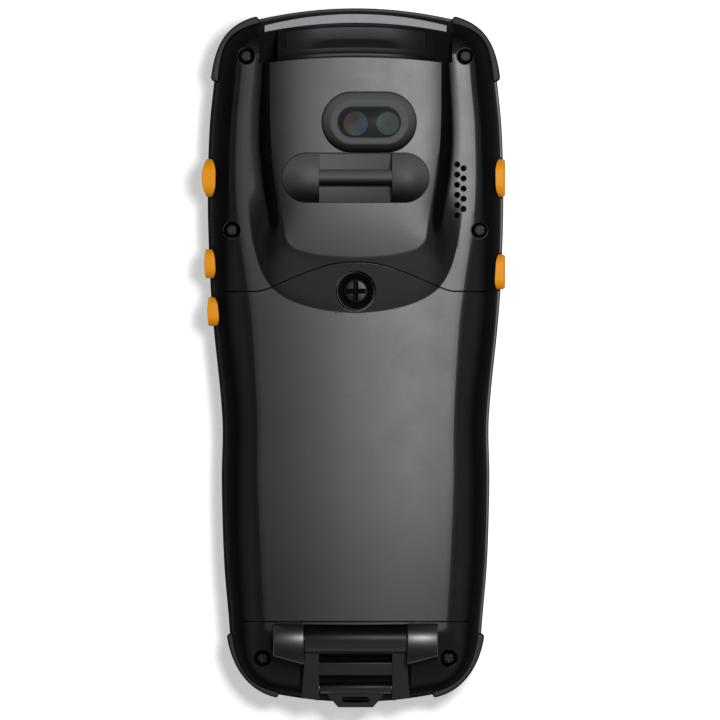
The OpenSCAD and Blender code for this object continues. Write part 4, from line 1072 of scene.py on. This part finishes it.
def at_pane(shape):
    return moved(shape, 0, BAY_Y + 4.9, RIM_Z + 4.5, (WINDOW_ANGLE, "X"))


window_frame = sliced(frame_wedge(0))
carve(window_frame, at_pane(beam(half + 0.05, -3.95, 3.95, -0.7, 10)),
      at_pane(beam(half - 1, -3, 3, -20, 5)))
softened(window_frame, 0.2, 2)
finished(bent(window_frame), "scan_window_bezel", window_black, "case", "scan_window_frame")
pane = sliced(at_pane(beam(half, -3.9, 3.9, -0.7, 0.5)))
finished(bent(softened(pane, 0.2, 2)), "scan_window_pane", tinted_acrylic, "case", "scan_window")
print("scan window, mm:", WINDOW_W)

# %% [markdown]
# ## Camera bezel and glass
#
# A raised bezel with two round ends protects the camera glass. Its rings follow a profile that rises
# softly. The lens and the lamp sit under the glass.

# %% Camera bezel and glass
BEZEL_LINE = [(7.1, 0), (7.1, 1.3), (6.9, 1.62), (6.5, 1.95), (5.9, 2.28), (5.4, 2.5), (5.15, 2.6),
              (4.9, 2.6)]


def round_ended(length, line):
    radius = line[0][0]
    return stack([[(x, y, z) for x, y in stadium(length - 2 * radius + 2 * r, r)] for r, z in line])


bezel = round_ended(BEZEL_L, BEZEL_LINE)
carve(bezel, capsule(15, 3.7, 2.1, 5), capsule(14.5, 3.45, -1, 5))
moved(bezel, BEZEL_X, BEZEL_Y, POCKET + 0.6)
finished(bezel, "camera_bezel_ring", nylon, "case", "camera_bezel")
glass = softened(capsule(14.9, 3.65, POCKET + 2.7, POCKET + 3.05, BEZEL_X, BEZEL_Y), 0.08, 2)
finished(glass, "camera_glass_pane", camera_glass, "case", "camera_window")
print("bezel faces:", len(bezel.data.polygons))

# %% [markdown]
# ## Strap anchor
#
# The hand strap's upper end loops round a bar in a raised capsule. The capsule's height follows a circle
# all round, so its ends are as round as its flanks. Its pocket is open at both sides.

# %% Strap anchor
ANCHOR_TOP, ANCHOR_R = HUMP_Z + 2.4, 8.1
BAR_R, BAR_SINK, GAP_HALF = 1.95, 0.2, 8.6


def anchor_height(r):
    return ANCHOR_TOP - ANCHOR_R + math.sqrt(ANCHOR_R ** 2 - r ** 2)


radii = [ANCHOR_W / 2 * math.cos(a) for a in np.linspace(0, 1.45, 12)]
anchor = round_ended(ANCHOR_L, [(ANCHOR_W / 2, POCKET), *[(r, anchor_height(r)) for r in radii]])
carve(anchor, beam(GAP_HALF, -ANCHOR_W, ANCHOR_W, POCKET + 0.5, 40))
softened(anchor, 0.15, 2, 40)
join(anchor, rod(BAR_R, -GAP_HALF - 1, GAP_HALF + 1, 0, ANCHOR_TOP - BAR_R - BAR_SINK))
finished(moved(anchor, 0, ANCHOR_Y), "strap_anchor_bar", nylon, "case", "strap_anchor")
print("anchor top, mm:", ANCHOR_TOP)

# %% [markdown]
# ## Strap buckle and loop
#
# At the foot, a frame swings on a steel pin between two ears. The strap threads round its crossbar, and a
# small tapered loop swings in its open end.

# %% Strap buckle and loop
BUCKLE_GAP, FRAME_LEN, LOOP_AT, LOOP_Z, LOOP_PIN_R = 17.3, 15.2, 12.9, -0.3, 0.7
PLATE_LO, PLATE_HI = -1.6, 0.9
g, b = BUCKLE_GAP / 2, BUCKLE_W / 2
frame_outline = [(-b, 0), (-g, 0), (-g, -FRAME_LEN), (-b - 0.65, -FRAME_LEN), (-b, -4.6)]
buckle = prism(frame_outline, PLATE_LO, PLATE_HI)
join(buckle, prism([(-x, y) for x, y in frame_outline], PLATE_LO, PLATE_HI))
join(buckle, beam(g + 0.5, -3.4, 0, PLATE_LO, PLATE_HI), rod(BARREL_R, -b, b, 0, 0, 96))
softened(buckle, 0.35, 3)
join(buckle, softened(beam(g + 0.4, -9.4, -5.8, PLATE_LO + 0.05, PLATE_HI - 0.2), 0.7, 4))
carve(buckle, rod(PIN_R + 0.05, -20, 20, 0, 0), rod(LOOP_PIN_R, -11.2, 11.2, -LOOP_AT, LOOP_Z))
finished(at_buckle(buckle), "strap_buckle_frame", acetal, "buckle", "strap_buckle")

taper = [(-6.9, 0), (6.9, 0), (6.3, -2.2), (4.1, -4.9), (-4.1, -4.9), (-6.3, -2.2)]
loop = carve(prism(taper, -0.9, 0.6), slab(6.4, 1.5, 0.7, -3, 3, 0, -2.9))
softened(loop, 0.25, 3)
join(loop, softened(rod(1.3, -g + 0.2, g - 0.2, 0, 0), 0.2, 2))
carve(loop, rod(LOOP_PIN_R + 0.05, -10, 10, 0, 0))
finished(at_buckle(moved(loop, 0, -LOOP_AT, LOOP_Z)), "strap_loop_tab", acetal, "loop", "strap_loop")
print("buckle width, mm:", BUCKLE_W)

# %% [markdown]
# ## Side keys
#
# The side keys are orange silicone. Those on the left are domed, because a thumb finds them without
# looking, and those on the right are flat. A large upright cylinder cuts the dome, and a flange keeps each
# key in.

# %% Side keys
LONG_KEY, LONG_DOME, SHORT_DOME = 8, 9, 16

for name, (side, y, length, height, reach) in SIDE_KEYS.items():
    root = half_w(y) - FLANGE_IN
    is_long = length > LONG_KEY
    cap = side_block(root, reach, y, length, height, 1)
    if side < 0:
        dome = LONG_DOME if is_long else SHORT_DOME
        combine(cap, peg(dome, -5, 40, reach - dome, y, 160), "INTERSECT")
    softened(cap, 0.7 if is_long else 0.5, 5, 28)
    join(cap, side_block(root - 0.8, root + 0.05, y, length + 2 * FLANGE, height + 2 * FLANGE, 1))
    finished(mirrored(cap) if side < 0 else cap, name + "_cap", orange_silicone, name + "_body", name)
print("side keys:", len(SIDE_KEYS))

# %% [markdown]
# ## Front keys and display
#
# The front faces the table here, but the part is seen from all sides. Each key is a rounded cap with a
# flange behind the face, and the number keys carry plain digits. The display is a sheet of black glass,
# flush with the front face.

# %% Front keys and display
FLANGE_Z, FLANGE_T = FACE_Z + FACE_T + 0.4, 0.8
TIP_Z, DIGIT_SIZE, DIGIT_T, DIGIT_Z = 0.35, 5, 0.06, 0.3
LEGENDS = {"key_point": ".", "key_back": "<", "clear_key": "x", "enter_key": "="}
KEY_COLOURS = {"scan_key_front": orange_silicone, "clear_key": red_silicone, "enter_key": green_silicone}


def legend(text, x, y):
    words = bpy.data.curves.new("legend", "FONT")
    words.body = text
    words.size = DIGIT_SIZE * MM
    words.extrude = DIGIT_T * MM
    words.align_x = "CENTER"
    words.align_y = "CENTER"
    holder = placed("legend", words)
    graph = bpy.context.evaluated_depsgraph_get()
    mark = placed("legend", bpy.data.meshes.new_from_object(holder.evaluated_get(graph)))
    bpy.data.objects.remove(holder)
    return moved(mark, x, y, DIGIT_Z, (180, "Y"))


for name, (x, y, width, depth) in FRONT_KEYS.items():
    cap = softened(slab(width, depth, KEY_R, TIP_Z, FLANGE_Z + 0.05, x, y), 0.4, 4, 50)
    join(cap, slab(width + 1.6, depth + 1.6, KEY_R + 0.6, FLANGE_Z, FLANGE_Z + FLANGE_T, x, y))
    finished(cap, name + "_cap", KEY_COLOURS.get(name, grey_silicone), name + "_body", name)
    text = LEGENDS.get(name, name[4:] if name.startswith("key_") else "")
    if text:
        finished(legend(text, x, y), name + "_legend", legend_ink, name + "_body")
sheet_glass = softened(slab(GLASS_W, GLASS_L, 2.8, FACE_Z, FACE_Z + GLASS_T, 0, GLASS_Y), 0.2, 3)
finished(sheet_glass, "display_cover_glass", display_glass, "case", "touch_glass")
print("front keys:", len(FRONT_KEYS), "display glass, mm:", GLASS_W, "x", GLASS_L)

# %% [markdown]
# ## Inner parts
#
# The parts inside keep their CAD shapes and get their own finishes, so that the terminal still looks right
# when its cover is open.

# %% Inner parts
INNER = {"housing_gasket": seal_rubber, "scan_engine": cast_zinc, "camera_module": lens_coating,
         "flash_led": lamp_plastic, "speaker": speaker_mesh, "battery_pack": battery_film,
         "battery_contacts": gold_plate, "main_board": green_board, "display_module": nickel_plate,
         "keypad_board": green_board, "side_switches": nickel_plate, "io_connector": nickel_plate,
         "card_socket": nickel_plate, "vibration_motor": nickel_plate, "antenna": gold_plate,
         "buckle_pin": stainless, "loop_pin": stainless}
for name, material in INNER.items():
    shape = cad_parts[name]
    shape.data.materials.clear()
    shape.data.materials.append(material)
print("CAD parts with a finish:", len(INNER))

# %% [markdown]
# ## Floor and light
#
# A plain white table and one soft light, high up and to the right, give the back its long gradient. A weak
# even fill keeps the far side from going black. The table glows a little, for the camera and for
# reflections only, so that the background is white and the shadow stays soft.

# %% Floor and light
FLOOR_HALF, FLOOR_GLOW = 900, 0.5
LIGHT_AT, LIGHT_AIM, LIGHT_SIZE, LIGHT_POWER = (0.1, 0.085, 0.55), (0, 0, 0.02), 0.14, 3.15
FILL_LIGHT = 0.08


def floor_paper():
    material, tree, shader, where = new_material("paper_white")
    fill(tree, shader, {"Base Color": linear("#e6e6e6"), "Roughness": 0.9})
    rays = add(tree, "LightPath").outputs
    seen = rays["Is Camera Ray"]
    for kind in ("Is Glossy Ray", "Is Transmission Ray"):
        seen = add(tree, "Math", {0: seen, 1: rays[kind]}, operation="MAXIMUM")
    glow = add(tree, "Emission", {"Color": (1, 1, 1, 1), "Strength": FLOOR_GLOW})
    both = add(tree, "AddShader", {0: shader, 1: glow})
    mix = add(tree, "MixShader", {0: seen, 1: shader, 2: both})
    fill(tree, next(n for n in tree.nodes if n.type == "OUTPUT_MATERIAL"), {"Surface": mix})
    return material


corners = [(x * FLOOR_HALF, y * FLOOR_HALF, 0) for x, y in ((-1, -1), (1, -1), (1, 1), (-1, 1))]
floor = solid(corners, [(0, 1, 2, 3)])
floor.name = "floor"
floor.data.materials.append(floor_paper())

lamp = bpy.data.lights.new("key_softbox", "AREA")
lamp.shape = "RECTANGLE"
lamp.size = LIGHT_SIZE
lamp.size_y = LIGHT_SIZE
lamp.energy = LIGHT_POWER
softbox = placed("key_softbox", lamp)
softbox.location = LIGHT_AT
softbox.rotation_euler = (Vector(LIGHT_AIM) - Vector(LIGHT_AT)).to_track_quat("-Z", "Y").to_euler()
softbox.visible_camera = False
scene.world = bpy.data.worlds.new("studio")
scene.world.use_nodes = True
fill(None, scene.world.node_tree.nodes["Background"], {"Color": (1, 1, 1, 1), "Strength": FILL_LIGHT})
